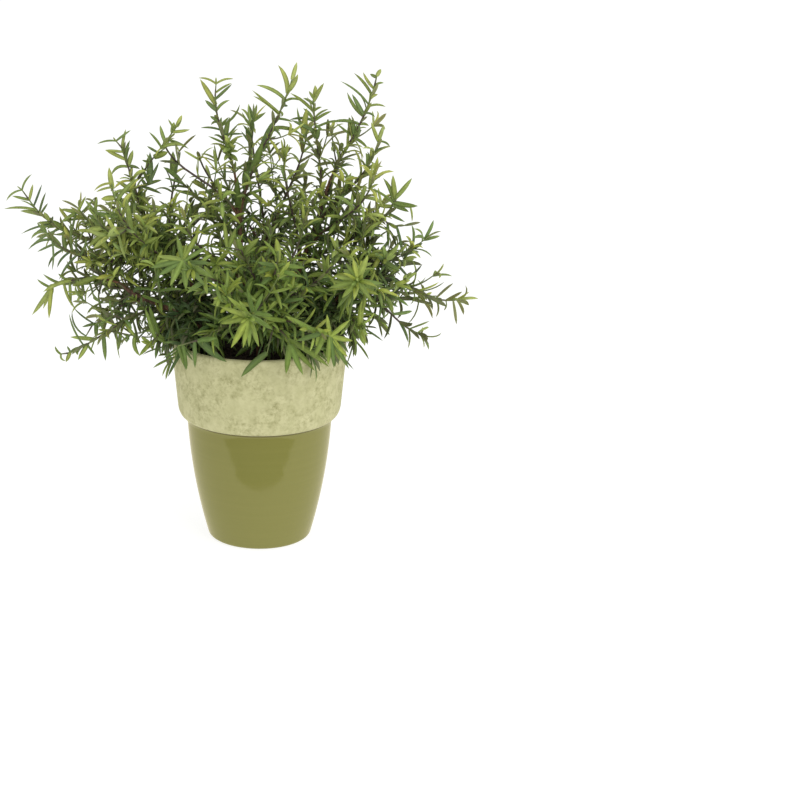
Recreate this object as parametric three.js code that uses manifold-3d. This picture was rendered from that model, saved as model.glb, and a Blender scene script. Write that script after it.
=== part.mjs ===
// A rosemary plant in its pot: the glazed pot with its thick mottled collar, the soil that fills
// it, seven woody stems, and the leafy shoots that the stems carry.
// Millimetres, +Z up. The origin is the centre of the pot's flat base; the front is towards -Y.
import * as THREE from "three";
import { mergeVertices } from "three/addons/utils/BufferGeometryUtils.js";
import Module from "manifold-3d";

const wasm = await Module();
wasm.setup();

// ---------------------------------------------------------------- driving dimensions

const GAP = 0.35; // between pieces that touch
const UP = new THREE.Vector3(0, 0, 1);

const POT = {
  height: 154.5,
  footRadius: 36.5, // the flat that the pot rests on
  heelRadius: 39.7, // where the rounded heel meets the body
  heelHeight: 3,
  bellyRadius: 51.9, // control point of the body's gentle curve
  bellyHeight: 47.5,
  neckRadius: 54.4, // top of the body, under the collar
  neckHeight: 93,
  ledgeRadius: 55.6, // inner edge of the collar's underside
  ledgeHeight: 95.6,
  collarRadius: 61.4, // outside of the collar above its rounded lower corner
  collarCorner: 105,
  rimRadius: 64.7,
  rimStraight: 141, // the collar's side turns upright here
  lip: 3.4, // height of the rounded lip
  softness: 0.6, // how far the rounded corners' control points stand off the corners
  wall: 5,
  floor: 7,
  sides: 40,
};

const SOIL = {
  top: 145.5, // mean height of the surface
  bump: 1.3,
  waveX: 0.31, // radians per millimetre of the surface's crossing waves
  waveY: 0.27,
  flatEdge: 0.25, // share of the radius over which the waves die out at the wall
  rings: 4,
  sides: 20,
  stemDepth: 26, // how far a stem's foot is sunk
};

const STEM = {
  footRadius: 2.3,
  topRadius: 1.35,
  sides: 6,
  steps: 8,
  lean: 0.28, // share of a stem over which its end runs straight
};
const SHOOT = {
  footRadius: 1.05,
  tipRadius: 0.65,
  sides: 4,
  step: 19, // length between the rings of its faceted core
  fewestRings: 4,
  crown: 10, // how far the last needles reach past the end of the core
  bare: 0.2, // share of the shoot that has no needles, at its woody foot
  pull: 0.36, // share of the shoot over which its two ends hold their directions
  follow: 0.9, // how much of the stem's direction it keeps as it leaves
};

const NEEDLE = {
  length: 16.5,
  rootHalfWidth: 0.36,
  halfWidth: 1.2,
  thickness: 1.2,
  widestAt: 0.42, // share of the length
  pairSpacing: 16, // needles stand in opposite pairs, each pair square to the one before
  lowPitch: 62, // degrees between a needle and the shoot, near the foot of the shoot
  tipPitch: 30,
  curl: 0.28, // how far the needle's outer half turns towards the shoot's direction
  sway: 24, // degrees that a needle may stand out of its pair's plane
  uneven: 0.24, // share by which the lengths vary
  lastPair: 0.96, // where the last pair stands, as a share of the leafy stretch
  endRoot: 0.99, // where on the shoot the needle at its very end has its root
  clearance: 2.55, // least distance of its centre line to another piece's
  turnsAside: [0, 20, -20, 90, -90, 70, -70, 110, -110], // degrees tried, to be clear
};

// The woody stems: where each stands in the soil, where its wood ends, and how far it keeps
// upright before it leans.
const STEMS = {
  left_low: { foot: [-26, -10], top: [-103, -12, 199], upright: 62 },
  left_high: { foot: [-28, 9], top: [-80, 14, 230], upright: 66 },
  centre_left: { foot: [-9, 9], top: [-17, 11, 268], upright: 60 },
  centre_right: { foot: [14, 10], top: [49, 14, 262], upright: 60 },
  right: { foot: [28, -7], top: [83, -8, 212], upright: 62 },
  front: { foot: [-1, -25], top: [1, -52, 198], upright: 44 },
  back: { foot: [3, 30], top: [6, 58, 232], upright: 50 },
};

// The shoots of the front and the sides: the stem that each forks from, where along that stem,
// the point that its last leaves reach, and how steeply it ends (1 straight up, 0 level).
const FRONT_SHOOTS = [
  { name: "far_left", stem: "left_high", fork: 0.66, tip: [-174, 12, 264], rise: 0.62 },
  { name: "left_upper", stem: "left_high", fork: 0.56, tip: [-159, -18, 246], rise: 0.6 },
  { name: "left_tuft", stem: "left_high", fork: 0.82, tip: [-140, -8, 256], rise: 0.45 },
  { name: "left_inner_tuft", stem: "left_high", fork: 0.74, tip: [-119, -34, 268], rise: 0.8 },
  { name: "upper_left", stem: "left_high", fork: 1, tip: [-103, 8, 304], rise: 0.75 },
  { name: "upper_left_inner", stem: "left_high", fork: 0.7, tip: [-58, 34, 314], rise: 0.9 },
  { name: "front_left_light", stem: "left_high", fork: 0.5, tip: [-103, -58, 290], rise: 0.85 },
  { name: "left_low", stem: "left_low", fork: 1, tip: [-162, 0, 189], rise: -0.3 },
  { name: "left_lowest", stem: "left_low", fork: 0.6, tip: [-149, -30, 147], rise: -0.25 },
  { name: "left_low_arc", stem: "left_low", fork: 0.74, tip: [-134, 22, 154], rise: -0.35 },
  { name: "left_rim", stem: "left_low", fork: 0.5, tip: [-86, -48, 158], rise: -0.2 },
  { name: "tall_left", stem: "centre_left", fork: 1, tip: [-32, 5, 342], rise: 0.97 },
  { name: "tall_right", stem: "centre_left", fork: 0.78, tip: [26, -5, 354], rise: 0.75 },
  { name: "tall_middle", stem: "centre_left", fork: 0.66, tip: [-4, 30, 328], rise: 0.95 },
  { name: "cross_left", stem: "centre_left", fork: 0.6, tip: [-74, 22, 284], rise: 0.5 },
  { name: "left_heart", stem: "centre_left", fork: 0.42, tip: [-54, -32, 263], rise: 0.9 },
  { name: "third_tall", stem: "centre_right", fork: 0.86, tip: [39, 20, 338], rise: 0.97 },
  { name: "middle_light", stem: "centre_right", fork: 0.52, tip: [17, -17, 302], rise: 0.95 },
  { name: "right_tall", stem: "centre_right", fork: 1, tip: [85, 12, 348], rise: 0.8 },
  { name: "right_second", stem: "centre_right", fork: 0.74, tip: [87, -8, 311], rise: 0.8 },
  { name: "right_third", stem: "centre_right", fork: 0.62, tip: [82, -42, 291], rise: 0.75 },
  { name: "right_upper", stem: "centre_right", fork: 0.5, tip: [101, -14, 272], rise: 0.75 },
  { name: "right_middle", stem: "right", fork: 1, tip: [90, -58, 238], rise: 0.6 },
  { name: "right_rosette", stem: "right", fork: 0.56, tip: [67, -115, 228], rise: 0.35 },
  { name: "right_far", stem: "right", fork: 0.84, tip: [158, 12, 182], rise: 0.1 },
  { name: "right_low", stem: "right", fork: 0.7, tip: [128, -24, 160], rise: -0.2 },
  { name: "right_rim", stem: "right", fork: 0.45, tip: [78, -70, 176], rise: -0.1 },
  { name: "front_rosette", stem: "front", fork: 0.7, tip: [-8, -126, 202], rise: 0.15 },
  { name: "left_rosette", stem: "front", fork: 0.82, tip: [-52, -106, 236], rise: 0.4 },
  { name: "right_star", stem: "front", fork: 0.57, tip: [48, -108, 184], rise: -0.05 },
  { name: "front_upright", stem: "front", fork: 0.9, tip: [13, -88, 249], rise: 0.92 },
  { name: "rim_right", stem: "front", fork: 0.46, tip: [24, -97, 168], rise: -0.4 },
  { name: "rim_left", stem: "front", fork: 0.52, tip: [-50, -80, 168], rise: -0.3 },
  { name: "front_left_pair", stem: "front", fork: 0.61, tip: [-24, -92, 220], rise: 0.75 },
  { name: "front_crown", stem: "front", fork: 1, tip: [-15, -62, 254], rise: 0.92 },
  { name: "right_heart", stem: "front", fork: 0.76, tip: [33, -42, 258], rise: 0.85 },
  { name: "right_heart_low", stem: "front", fork: 0.66, tip: [57, -72, 244], rise: 0.75 },
];

// The shoots behind fan out over the back by a rule, on three levels in turn.
const BACK = {
  count: 14,
  firstBearing: 10, // degrees from +X, counted towards +Y
  bearingStep: 12.3,
  halfWidth: 140,
  halfDepth: 118,
  flank: 50, // further to the side than this, a shoot grows from a stem on that side
  uneven: { reach: 0.12, height: 16, fork: 0.12 },
  levels: [
    { height: 188, reach: 0.92, rise: 0.05, fork: 0.54, right: "right", left: "left_high" },
    { height: 312, reach: 0.5, rise: 0.9, fork: 0.74, right: "centre_right", left: "centre_left" },
    { height: 250, reach: 0.82, rise: 0.6, fork: 0.64, right: "centre_right", left: "left_high" },
  ],
};

const FINISHES = {
  glaze: { color: 0x8d8b50, roughness: 0.25 },
  soil: { color: 0x3a2c20, roughness: 0.95 },
  wood: { color: 0x5d3b2c, roughness: 0.8 },
  oldLeaf: { color: 0x3f5f2b, roughness: 0.6 },
  youngLeaf: { color: 0x77963f, roughness: 0.6 },
};
const YOUNG_RISE = 0.6; // shoots that end steeper than this are young, light ones

// ---------------------------------------------------------------- solids from geometry

// The closed solid of a geometry: shared corners merged, collapsed triangles left out.
function solid(geometry) {
  geometry.deleteAttribute("normal");
  geometry.deleteAttribute("uv");
  const merged = mergeVertices(geometry, 1e-4);
  const corners = merged.index.array;
  const triangles = [];
  for (let i = 0; i < corners.length; i += 3) {
    const [a, b, c] = corners.slice(i, i + 3);
    if (a !== b && b !== c && c !== a) triangles.push(a, b, c);
  }
  return new wasm.Manifold(new wasm.Mesh({
    numProp: 3,
    vertProperties: new Float32Array(merged.attributes.position.array),
    triVerts: new Uint32Array(triangles),
  }));
}

function geometryOf(body) {
  const mesh = body.getMesh();
  const geometry = new THREE.BufferGeometry();
  geometry.setAttribute("position", new THREE.BufferAttribute(mesh.vertProperties, 3));
  geometry.setIndex(new THREE.BufferAttribute(mesh.triVerts, 1));
  geometry.computeVertexNormals();
  return geometry;
}

// A unit cylinder whose points are moved by place(x, along, z), with along from 0 to 1.
function sweep(sides, steps, place) {
  const geometry = new THREE.CylinderGeometry(1, 1, 1, sides, steps);
  const points = geometry.attributes.position;
  for (let i = 0; i < points.count; i++) {
    const moved = place(points.getX(i), points.getY(i) + 0.5, points.getZ(i));
    points.setXYZ(i, moved.x, moved.y, moved.z);
  }
  return geometry;
}

function revolved(outline, sides) {
  return new THREE.LatheGeometry(outline, sides).rotateX(Math.PI / 2);
}

// The points of a bend from one point to another, pulled towards a third, without its first.
function bend(from, pull, to, steps) {
  const curve = new THREE.QuadraticBezierCurve(from, pull, to);
  return curve.getPoints(steps).slice(1);
}

const at = (radius, height) => new THREE.Vector2(radius, height);
const mix = THREE.MathUtils.lerp;
const scatter = (a, b) => THREE.MathUtils.euclideanModulo(
  Math.sin(a * 127.1 + b * 311.7) * 43758.5453, 1);

// ---------------------------------------------------------------- pot and soil

// Inside of the pot, from the rim down to the floor.
const inside = {
  rimRadius: POT.rimRadius - POT.wall,
  collarRadius: POT.collarRadius - POT.wall,
  neckRadius: POT.neckRadius - POT.wall,
  bellyRadius: POT.bellyRadius - POT.wall,
  heelRadius: POT.heelRadius - POT.wall,
  floorRadius: POT.footRadius - 2 * POT.wall,
  heelHeight: POT.floor + POT.heelHeight,
};

function potOutline() {
  const foot = at(POT.footRadius, 0);
  const heel = at(POT.heelRadius, POT.heelHeight);
  const neck = at(POT.neckRadius, POT.neckHeight);
  const ledge = at(POT.ledgeRadius, POT.ledgeHeight);
  const collarPull = at(POT.collarRadius - POT.softness, POT.ledgeHeight + POT.softness);
  const collar = at(POT.collarRadius, POT.collarCorner);
  const lipOutside = at(POT.rimRadius, POT.height - POT.lip);
  const lipTop = at(POT.rimRadius - POT.wall / 2, POT.height);
  const lipInside = at(inside.rimRadius, POT.height - POT.lip);
  const innerNeck = at(inside.neckRadius, POT.neckHeight);
  const innerHeel = at(inside.heelRadius, inside.heelHeight);
  return [
    at(0, 0),
    foot,
    ...bend(foot, at(POT.heelRadius - POT.softness, 0), heel, 2),
    ...bend(heel, at(POT.bellyRadius, POT.bellyHeight), neck, 5),
    ledge,
    ...bend(ledge, collarPull, collar, 3),
    at(POT.rimRadius, POT.rimStraight),
    lipOutside,
    ...bend(lipOutside, at(POT.rimRadius, POT.height), lipTop, 2),
    ...bend(lipTop, at(inside.rimRadius, POT.height), lipInside, 2),
    at(inside.collarRadius, POT.collarCorner),
    innerNeck,
    ...bend(innerNeck, at(inside.bellyRadius, POT.bellyHeight), innerHeel, 3),
    at(inside.floorRadius, POT.floor),
    at(0, POT.floor),
  ];
}

// Height of the soil's crumbly surface, which lies flat along the wall.
function soilHeight(x, y) {
  const inwards = 1 - Math.hypot(x, y) / inside.rimRadius;
  const wave = Math.sin(SOIL.waveX * x) * Math.cos(SOIL.waveY * y) + Math.sin(SOIL.waveY * (x - y));
  return SOIL.top + SOIL.bump * wave * Math.min(1, inwards / SOIL.flatEdge);
}

function wallRadiusAt(height) {
  const share = (height - POT.collarCorner) / (POT.height - POT.lip - POT.collarCorner);
  return mix(inside.collarRadius, inside.rimRadius, share);
}

function soilOutline() {
  const innerNeck = at(inside.neckRadius - GAP, POT.neckHeight);
  const innerHeel = at(inside.heelRadius - GAP, inside.heelHeight + GAP);
  const edge = wallRadiusAt(SOIL.top) - GAP;
  const surface = [];
  for (let ring = 0; ring <= SOIL.rings; ring++) {
    surface.push(at(edge * (1 - ring / SOIL.rings), SOIL.top));
  }
  return [
    at(0, POT.floor + GAP),
    at(inside.floorRadius - GAP, POT.floor + GAP),
    innerHeel,
    ...bend(innerHeel, at(inside.bellyRadius - GAP, POT.bellyHeight), innerNeck, 3),
    at(inside.collarRadius - GAP, POT.collarCorner),
    ...surface,
  ];
}

function soilSolid() {
  const geometry = revolved(soilOutline(), SOIL.sides);
  const points = geometry.attributes.position;
  for (let i = 0; i < points.count; i++) {
    if (Math.abs(points.getZ(i) - SOIL.top) < 0.01) {
      points.setZ(i, soilHeight(points.getX(i), points.getY(i)));
    }
  }
  return solid(geometry);
}

// ---------------------------------------------------------------- stems and shoots

// A curve, with the level direction square to its course that its sections are set out from.
function route(curve) {
  const course = curve.v3.clone().sub(curve.v0).setZ(0);
  if (course.length() < 1) course.set(1, 0, 0);
  return { curve, side: UP.clone().cross(course).normalize() };
}

// Directions at a point of a route: along it, and the two that span its section.
function axesAt({ curve, side }, u) {
  const step = 0.001;
  const along = curve.getPoint(u + step).sub(curve.getPoint(u - step)).normalize();
  const across = side.clone().addScaledVector(along, -side.dot(along)).normalize();
  return { along, across, out: across.clone().cross(along) };
}

function tube(path, from, to, sides, steps, startRadius, endRadius) {
  return sweep(sides, steps, (x, s, z) => {
    const u = mix(from, to, s);
    const { across, out } = axesAt(path, u);
    const radius = mix(startRadius, endRadius, s);
    return path.curve.getPoint(u).addScaledVector(across, x * radius).addScaledVector(out, z * radius);
  });
}

function stemRoute({ foot, top, upright }) {
  const start = new THREE.Vector3(foot[0], foot[1], SOIL.top - SOIL.stemDepth);
  const end = new THREE.Vector3(...top);
  const lean = end.clone().sub(start).multiplyScalar(STEM.lean);
  const rising = start.clone().addScaledVector(UP, upright);
  return route(new THREE.CubicBezierCurve3(start, rising, end.clone().sub(lean), end));
}

const stemRoutes = {};
for (const [name, stem] of Object.entries(STEMS)) stemRoutes[name] = stemRoute(stem);

function shootRoute({ stem, fork, tip, rise }) {
  const parent = stemRoutes[stem];
  const start = parent.curve.getPoint(fork);
  const target = new THREE.Vector3(...tip);
  const way = target.clone().sub(start);
  const level = way.clone().setZ(0).normalize();
  const ending = level.multiplyScalar(1 - Math.abs(rise)).addScaledVector(UP, rise).normalize();
  const end = target.addScaledVector(ending, -SHOOT.crown);
  const pull = way.length() * SHOOT.pull;
  const { along } = axesAt(parent, fork);
  const leaving = way.normalize().addScaledVector(along, SHOOT.follow).normalize();
  const first = start.clone().addScaledVector(leaving, pull);
  const second = end.clone().addScaledVector(ending, -pull);
  return route(new THREE.CubicBezierCurve3(start, first, second, end));
}

function backShoots() {
  const shoots = [];
  for (let i = 0; i < BACK.count; i++) {
    const { height, reach, rise, fork, right, left } = BACK.levels[i % BACK.levels.length];
    const vary = (range, draw) => range * (scatter(i, draw) - 0.5);
    const bearing = THREE.MathUtils.degToRad(BACK.firstBearing + i * BACK.bearingStep);
    const far = reach * (1 + vary(BACK.uneven.reach, 1));
    const x = BACK.halfWidth * Math.cos(bearing) * far;
    const y = BACK.halfDepth * Math.sin(bearing) * far;
    const z = height + vary(BACK.uneven.height, 2);
    let stem = "back";
    if (x > BACK.flank) stem = right;
    if (x < -BACK.flank) stem = left;
    const from = fork + vary(BACK.uneven.fork, 9);
    shoots.push({ name: `back_${i + 1}`, stem, fork: from, tip: [x, y, z], rise });
  }
  return shoots;
}

const shoots = [...FRONT_SHOOTS, ...backShoots()];
for (const shoot of shoots) {
  shoot.path = shootRoute(shoot);
  shoot.rings = Math.max(SHOOT.fewestRings, Math.round(shoot.path.curve.getLength() / SHOOT.step));
}

// A point of the shoot's faceted core, which runs straight from ring to ring.
function corePoint({ path, rings }, u) {
  const ring = Math.min(rings - 1, Math.floor(u * rings));
  const start = path.curve.getPoint(ring / rings);
  const end = path.curve.getPoint((ring + 1) / rings);
  return start.lerp(end, u * rings - ring);
}

// ---------------------------------------------------------------- what needles keep clear of

const taken = [];

function take(owner, points) {
  for (let i = 1; i < points.length; i++) taken.push({ owner, line: [points[i - 1], points[i]] });
}

// Least distance between two straight lines' stretches.
function distance([a, b], [c, d]) {
  const ab = b.clone().sub(a);
  const cd = d.clone().sub(c);
  const ac = a.clone().sub(c);
  const abab = ab.lengthSq();
  const cdcd = cd.lengthSq();
  const abcd = ab.dot(cd);
  const slant = abab * cdcd - abcd * abcd;
  const clamp = (value) => Math.min(1, Math.max(0, value));
  let s = slant > 1e-9 ? clamp((abcd * cd.dot(ac) - cdcd * ab.dot(ac)) / slant) : 0;
  const t = clamp((abcd * s + cd.dot(ac)) / cdcd);
  s = clamp((abcd * t - ab.dot(ac)) / abab);
  return a.clone().addScaledVector(ab, s).distanceTo(c.clone().addScaledVector(cd, t));
}

// Whether a point is in the pot, in the soil or close over them.
const overPot = (point) => point.z < POT.height + NEEDLE.clearance
  && Math.hypot(point.x, point.y) < POT.rimRadius + NEEDLE.clearance;

function isClear(owner, points) {
  if (points.some(overPot)) return false;
  for (let i = 1; i < points.length; i++) {
    const line = [points[i - 1], points[i]];
    for (const other of taken) {
      if (other.owner !== owner && distance(line, other.line) < NEEDLE.clearance) return false;
    }
  }
  return true;
}

for (const [name, path] of Object.entries(stemRoutes)) take(name, path.curve.getPoints(12));
for (const { name, path } of shoots) take(name, path.curve.getPoints(12));

// ---------------------------------------------------------------- needles

// The centre line of a needle: its root on the shoot's axis, its widest place and its point,
// with the two directions that span its section.
function needleLine(shoot, u, turn, pitch, length) {
  const { along, across, out } = axesAt(shoot.path, u);
  const aside = across.clone().multiplyScalar(Math.cos(turn)).addScaledVector(out, Math.sin(turn));
  const wide = across.multiplyScalar(-Math.sin(turn)).addScaledVector(out, Math.cos(turn));
  const going = aside.multiplyScalar(Math.sin(pitch)).addScaledVector(along, Math.cos(pitch));
  const root = corePoint(shoot, u);
  const middle = root.clone().addScaledVector(going, length * NEEDLE.widestAt);
  const outer = going.clone().addScaledVector(along, NEEDLE.curl).normalize();
  const point = middle.clone().addScaledVector(outer, length * (1 - NEEDLE.widestAt));
  return { points: [root, middle, point], wide, deep: wide.clone().cross(going) };
}

// A three-sided needle: flat above, keeled below, narrow at the root and pointed.
function needle({ points, wide, deep }) {
  const halfWidths = [NEEDLE.rootHalfWidth, NEEDLE.halfWidth, 0];
  return sweep(3, 2, (x, s, z) => {
    const ring = Math.round(s * 2);
    const half = halfWidths[ring];
    const sideways = (x * half) / Math.cos(Math.PI / 6);
    const keel = (z * half * NEEDLE.thickness) / NEEDLE.halfWidth / 1.5;
    return points[ring].clone().addScaledVector(wide, sideways).addScaledVector(deep, keel);
  });
}

// One needle at a place on a shoot, turned round the shoot until it is clear of other pieces.
function clearNeedle(shoot, u, turn, pitch, length) {
  for (const aside of NEEDLE.turnsAside) {
    const turned = THREE.MathUtils.degToRad(turn + aside);
    const line = needleLine(shoot, u, turned, THREE.MathUtils.degToRad(pitch), length);
    if (isClear(shoot.name, line.points)) {
      take(shoot.name, line.points);
      return [needle(line)];
    }
  }
  return [];
}

function needles(shoot, order) {
  const leafyLength = shoot.path.curve.getLength() * (1 - SHOOT.bare);
  const pairs = Math.round(leafyLength / NEEDLE.pairSpacing);
  const made = clearNeedle(shoot, NEEDLE.endRoot, 0, 0, SHOOT.crown);
  for (let i = 0; i < 2 * pairs; i++) {
    const pair = Math.floor(i / 2);
    const share = pair / (pairs - 1) * NEEDLE.lastPair;
    const pitch = mix(NEEDLE.lowPitch, NEEDLE.tipPitch, share * share);
    const length = NEEDLE.length * (1 + NEEDLE.uneven * (scatter(i, order + 50) - 0.5));
    const turn = 45 + 90 * pair + 180 * i + NEEDLE.sway * (scatter(order, i) - 0.5);
    made.push(...clearNeedle(shoot, mix(SHOOT.bare, 1, share), turn, pitch, length));
  }
  return made;
}

// ---------------------------------------------------------------- the parts

function stemTube(path, overlap) {
  const { sides, steps, footRadius, topRadius } = STEM;
  const beyond = overlap / path.curve.getLength();
  return tube(path, -beyond, 1 + beyond, sides, steps, footRadius + overlap, topRadius + overlap);
}

// The room that a stem needs: its own shape with the usual gap all round.
const stemRoom = (path) => solid(stemTube(path, GAP));

const group = new THREE.Group();

function addPart(name, body, finish) {
  const material = new THREE.MeshStandardMaterial({ ...finish, metalness: 0 });
  const mesh = new THREE.Mesh(geometryOf(body), material);
  mesh.name = name;
  group.add(mesh);
}

function fused(geometries) {
  let body = solid(geometries[0]);
  for (const geometry of geometries.slice(1)) body = body.add(solid(geometry));
  return body;
}

addPart("pot", solid(revolved(potOutline(), POT.sides)), FINISHES.glaze);

let soil = soilSolid();
for (const path of Object.values(stemRoutes)) soil = soil.subtract(stemRoom(path));
addPart("soil", soil, FINISHES.soil);

for (const [name, path] of Object.entries(stemRoutes)) {
  addPart(`stem_${name}`, solid(stemTube(path, 0)), FINISHES.wood);
}

shoots.forEach((shoot, order) => {
  const { path, rings, stem } = shoot;
  const core = tube(path, 0, 1, SHOOT.sides, rings, SHOOT.footRadius, SHOOT.tipRadius);
  const finish = shoot.rise > YOUNG_RISE ? FINISHES.youngLeaf : FINISHES.oldLeaf;
  const whole = fused([core, ...needles(shoot, order)]);
  addPart(`shoot_${shoot.name}`, whole.subtract(stemRoom(stemRoutes[stem])), finish);
});

export default group;
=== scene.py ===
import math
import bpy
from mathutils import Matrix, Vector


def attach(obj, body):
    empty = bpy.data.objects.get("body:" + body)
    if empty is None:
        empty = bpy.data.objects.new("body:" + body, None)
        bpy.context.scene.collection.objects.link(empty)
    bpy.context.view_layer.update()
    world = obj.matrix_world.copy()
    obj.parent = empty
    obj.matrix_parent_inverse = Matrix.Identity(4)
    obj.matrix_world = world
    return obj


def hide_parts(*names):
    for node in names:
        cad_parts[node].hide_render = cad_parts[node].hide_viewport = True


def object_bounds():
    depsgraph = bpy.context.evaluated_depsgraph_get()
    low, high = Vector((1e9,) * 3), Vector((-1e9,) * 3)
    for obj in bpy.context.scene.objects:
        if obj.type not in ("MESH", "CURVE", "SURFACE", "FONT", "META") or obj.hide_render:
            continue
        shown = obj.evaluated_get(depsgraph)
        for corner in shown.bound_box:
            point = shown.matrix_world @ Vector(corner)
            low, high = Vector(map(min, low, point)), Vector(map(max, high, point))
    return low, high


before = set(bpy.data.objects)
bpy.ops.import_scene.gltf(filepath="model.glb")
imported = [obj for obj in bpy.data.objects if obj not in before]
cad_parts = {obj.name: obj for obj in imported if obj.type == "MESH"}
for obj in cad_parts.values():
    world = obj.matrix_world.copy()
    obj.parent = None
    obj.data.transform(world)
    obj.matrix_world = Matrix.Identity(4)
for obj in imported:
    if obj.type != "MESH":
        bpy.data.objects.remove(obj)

# A rosemary plant in its glazed pot, in metres. The origin is the centre of the pot's flat base,
# the front is towards -Y and +Z is up. Every piece takes the place of one solid of the frame:
# the pot, the soil, seven woody stems and the leafy shoots that the stems carry.

from types import SimpleNamespace as Sizes

import bpy
import numpy as np

CAD_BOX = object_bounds()
UP = np.array([0.0, 0.0, 1.0])
DEPTH = np.array([0.0, 1.0, 0.0])
SEED = 3307
STEM_SEED = 500  # added to the order of a woody stem
SOIL_SEED = 900
NEARLY_TURN = 6.28  # a full turn, near enough for a random direction
SCATTER = Sizes(first=127.1, second=311.7, stretch=43758.5453)

# ---------------- driving dimensions

POT = Sizes(
    height=0.1545,
    foot_radius=0.0365,  # the flat that the pot rests on
    heel_radius=0.0397,
    heel_height=0.003,
    belly_radius=0.0519,  # control point of the body's gentle curve
    belly_height=0.0475,
    neck_radius=0.0544,  # top of the body, under the collar
    neck_height=0.093,
    ledge_radius=0.0556,
    ledge_height=0.0956,
    collar_radius=0.0614,
    collar_corner=0.105,
    rim_radius=0.0647,
    rim_straight=0.141,
    lip=0.0034,
    softness=0.0006,
    wall=0.005,
    floor=0.007,
    segments=192,
    sharp_angle=40,
)
SOIL = Sizes(
    top=0.1455,
    stem_depth=0.026,  # how deep the woody stems stand in it
    gap=0.0002,  # between it and the pot
    rings=46,
    segments=150,
    level=1e-6,  # how near to its top a point belongs to the surface
    octaves=5,
    directions=4,
    wave=0.020,  # length and height of its largest waves, and how much finer and lower others get
    finer=1.9,
    wave_height=0.0005,
    lower=1.45,
    tint=0.5,
    sharp_angle=35,
)
CRUMB = Sizes(
    count=330,
    reach=0.96,  # share of the soil's radius that they lie on
    sizes=(0.0008, 0.0024),
    raised=0.25,
    sides=7,
    rings=4,
    last_ring=0.8,
    radii=(0.72, 1.2),
    heights=(0.6, 0.9),
    top=0.75,
    tints=(0.3, 0.9),
)
STEM = Sizes(
    foot_radius=0.0023,
    top_radius=0.00135,
    lean=0.28,
    sides=12,
    step=0.0022,
    roughness=0.09,
    ribs=0.05,
    rib_turn=2.4,
    knots=0.16,
    knot_wave=0.0034,
    knot_level=0.55,
    fade=1.5,  # over its upper two thirds it turns to the colour of a twig, half way at the top
    top_shade=0.5,
    uneven_shade=0.22,
    sharp_angle=60,
)
SHOOT = Sizes(
    foot_radius=0.0010,
    tip_radius=0.0006,
    unevenness=0.10,
    sides=8,
    step=0.0025,
    fewest_rings=8,
    crown=0.010,  # how far the last leaves reach past the end of the stem
    pull=0.36,
    follow=0.9,
    bare=0.1,  # share of the shoot that has no leaves, at its woody foot
    until=0.985,
    pair_spacing=0.0073,
    set_closeness=0.8,  # of the pairs below leaves that are set one by one
    set_gap=0.02,
    shortest_dress=0.1,
    woody_fade=3,  # over one part in so many its bark turns to the colour of a twig
    green_from=0.75,  # where its bark starts to turn green
    greening=1.5,
    sharp_angle=50,
)
YOUTH = Sizes(  # of the leaves at a shoot's foot and end, less on the shoots that end low
    foot=0.10,
    foot_gain=0.24,
    foot_unevenness=0.12,
    end=0.66,
    end_gain=0.16,
    end_unevenness=0.16,
    low=0.15,
    rise=0.2,
)
TWIG = Sizes(
    inner_spacing=0.038,  # along the shoots that end over the pot
    outer_spacing=0.0092,  # and along those that reach far out
    inner_reach=0.035,
    outer_reach=0.13,
    first=0.08,  # where on its shoot the first twig stands
    free_end=0.034,  # length of a shoot's end that has no twigs
    uneven_places=(0.2, 0.8),
    shortest=0.018,
    longest=0.048,
    last_share=0.5,  # length of the twigs near the shoot's end, as a share of the first ones'
    low_pitch=32,
    high_pitch=70,
    bends=(0.3, 0.5),
    beyond=0.7,  # share of its last leaves' length that has to have room too
    lift=0.25,  # how far it turns up, as a share of its length
    drooping_below=0.175,  # height under which twigs hang instead
    drooping_fade=0.02,
    drooping_pitch=25,
    drooping_lift=1.6,
    tries=8,
    radius=0.00070,
    tip_radius=0.00045,
    rings=7,
    sides=6,
    pair_spacing=0.0078,
    closeness=(0.85, 1.05),
    bare=0.12,
    tufts=0.3,  # share of the short twigs that are close-leaved
    longest_tuft=0.024,
    tuft_closeness=0.5,
    foot_youth=-0.05,  # beside the leaves of the shoot at the twig's place
    end_youth=0.3,
    on_stem=9,  # twigs that grow from each woody stem itself
    stem_foot=0.25,  # where on the woody stem they stand
    stem_top=0.62,
    leaning_stem_top=1.0,
    leaning_reach=0.04,  # from the pot's axis to the end of a stem that leans
    under_rim=0.006,
)
MOUTH = Sizes(
    twigs=15,  # twigs of each woody stem that lie over the pot's mouth and hang over its rim
    stem_foot=0.22,
    stem_top=0.5,
    spread=45,  # degrees to each side of the stem
    nearest=0.040,
    farthest=0.077,
    lowest=0.003,  # above the rim
    highest=0.016,
    arch=0.012,
    arches=(0.3, 1),
    bends=(0.35, 0.75),
    leaf_droop=0.6,
    leaf_length=0.0205,
    foot_youth=-0.25,
    end_youth=0.05,
    gap_start=-124,  # the bearings over which the mouth lies open, at the front
    gap_end=-84,
    pair_spacing=0.0078,
)
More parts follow.
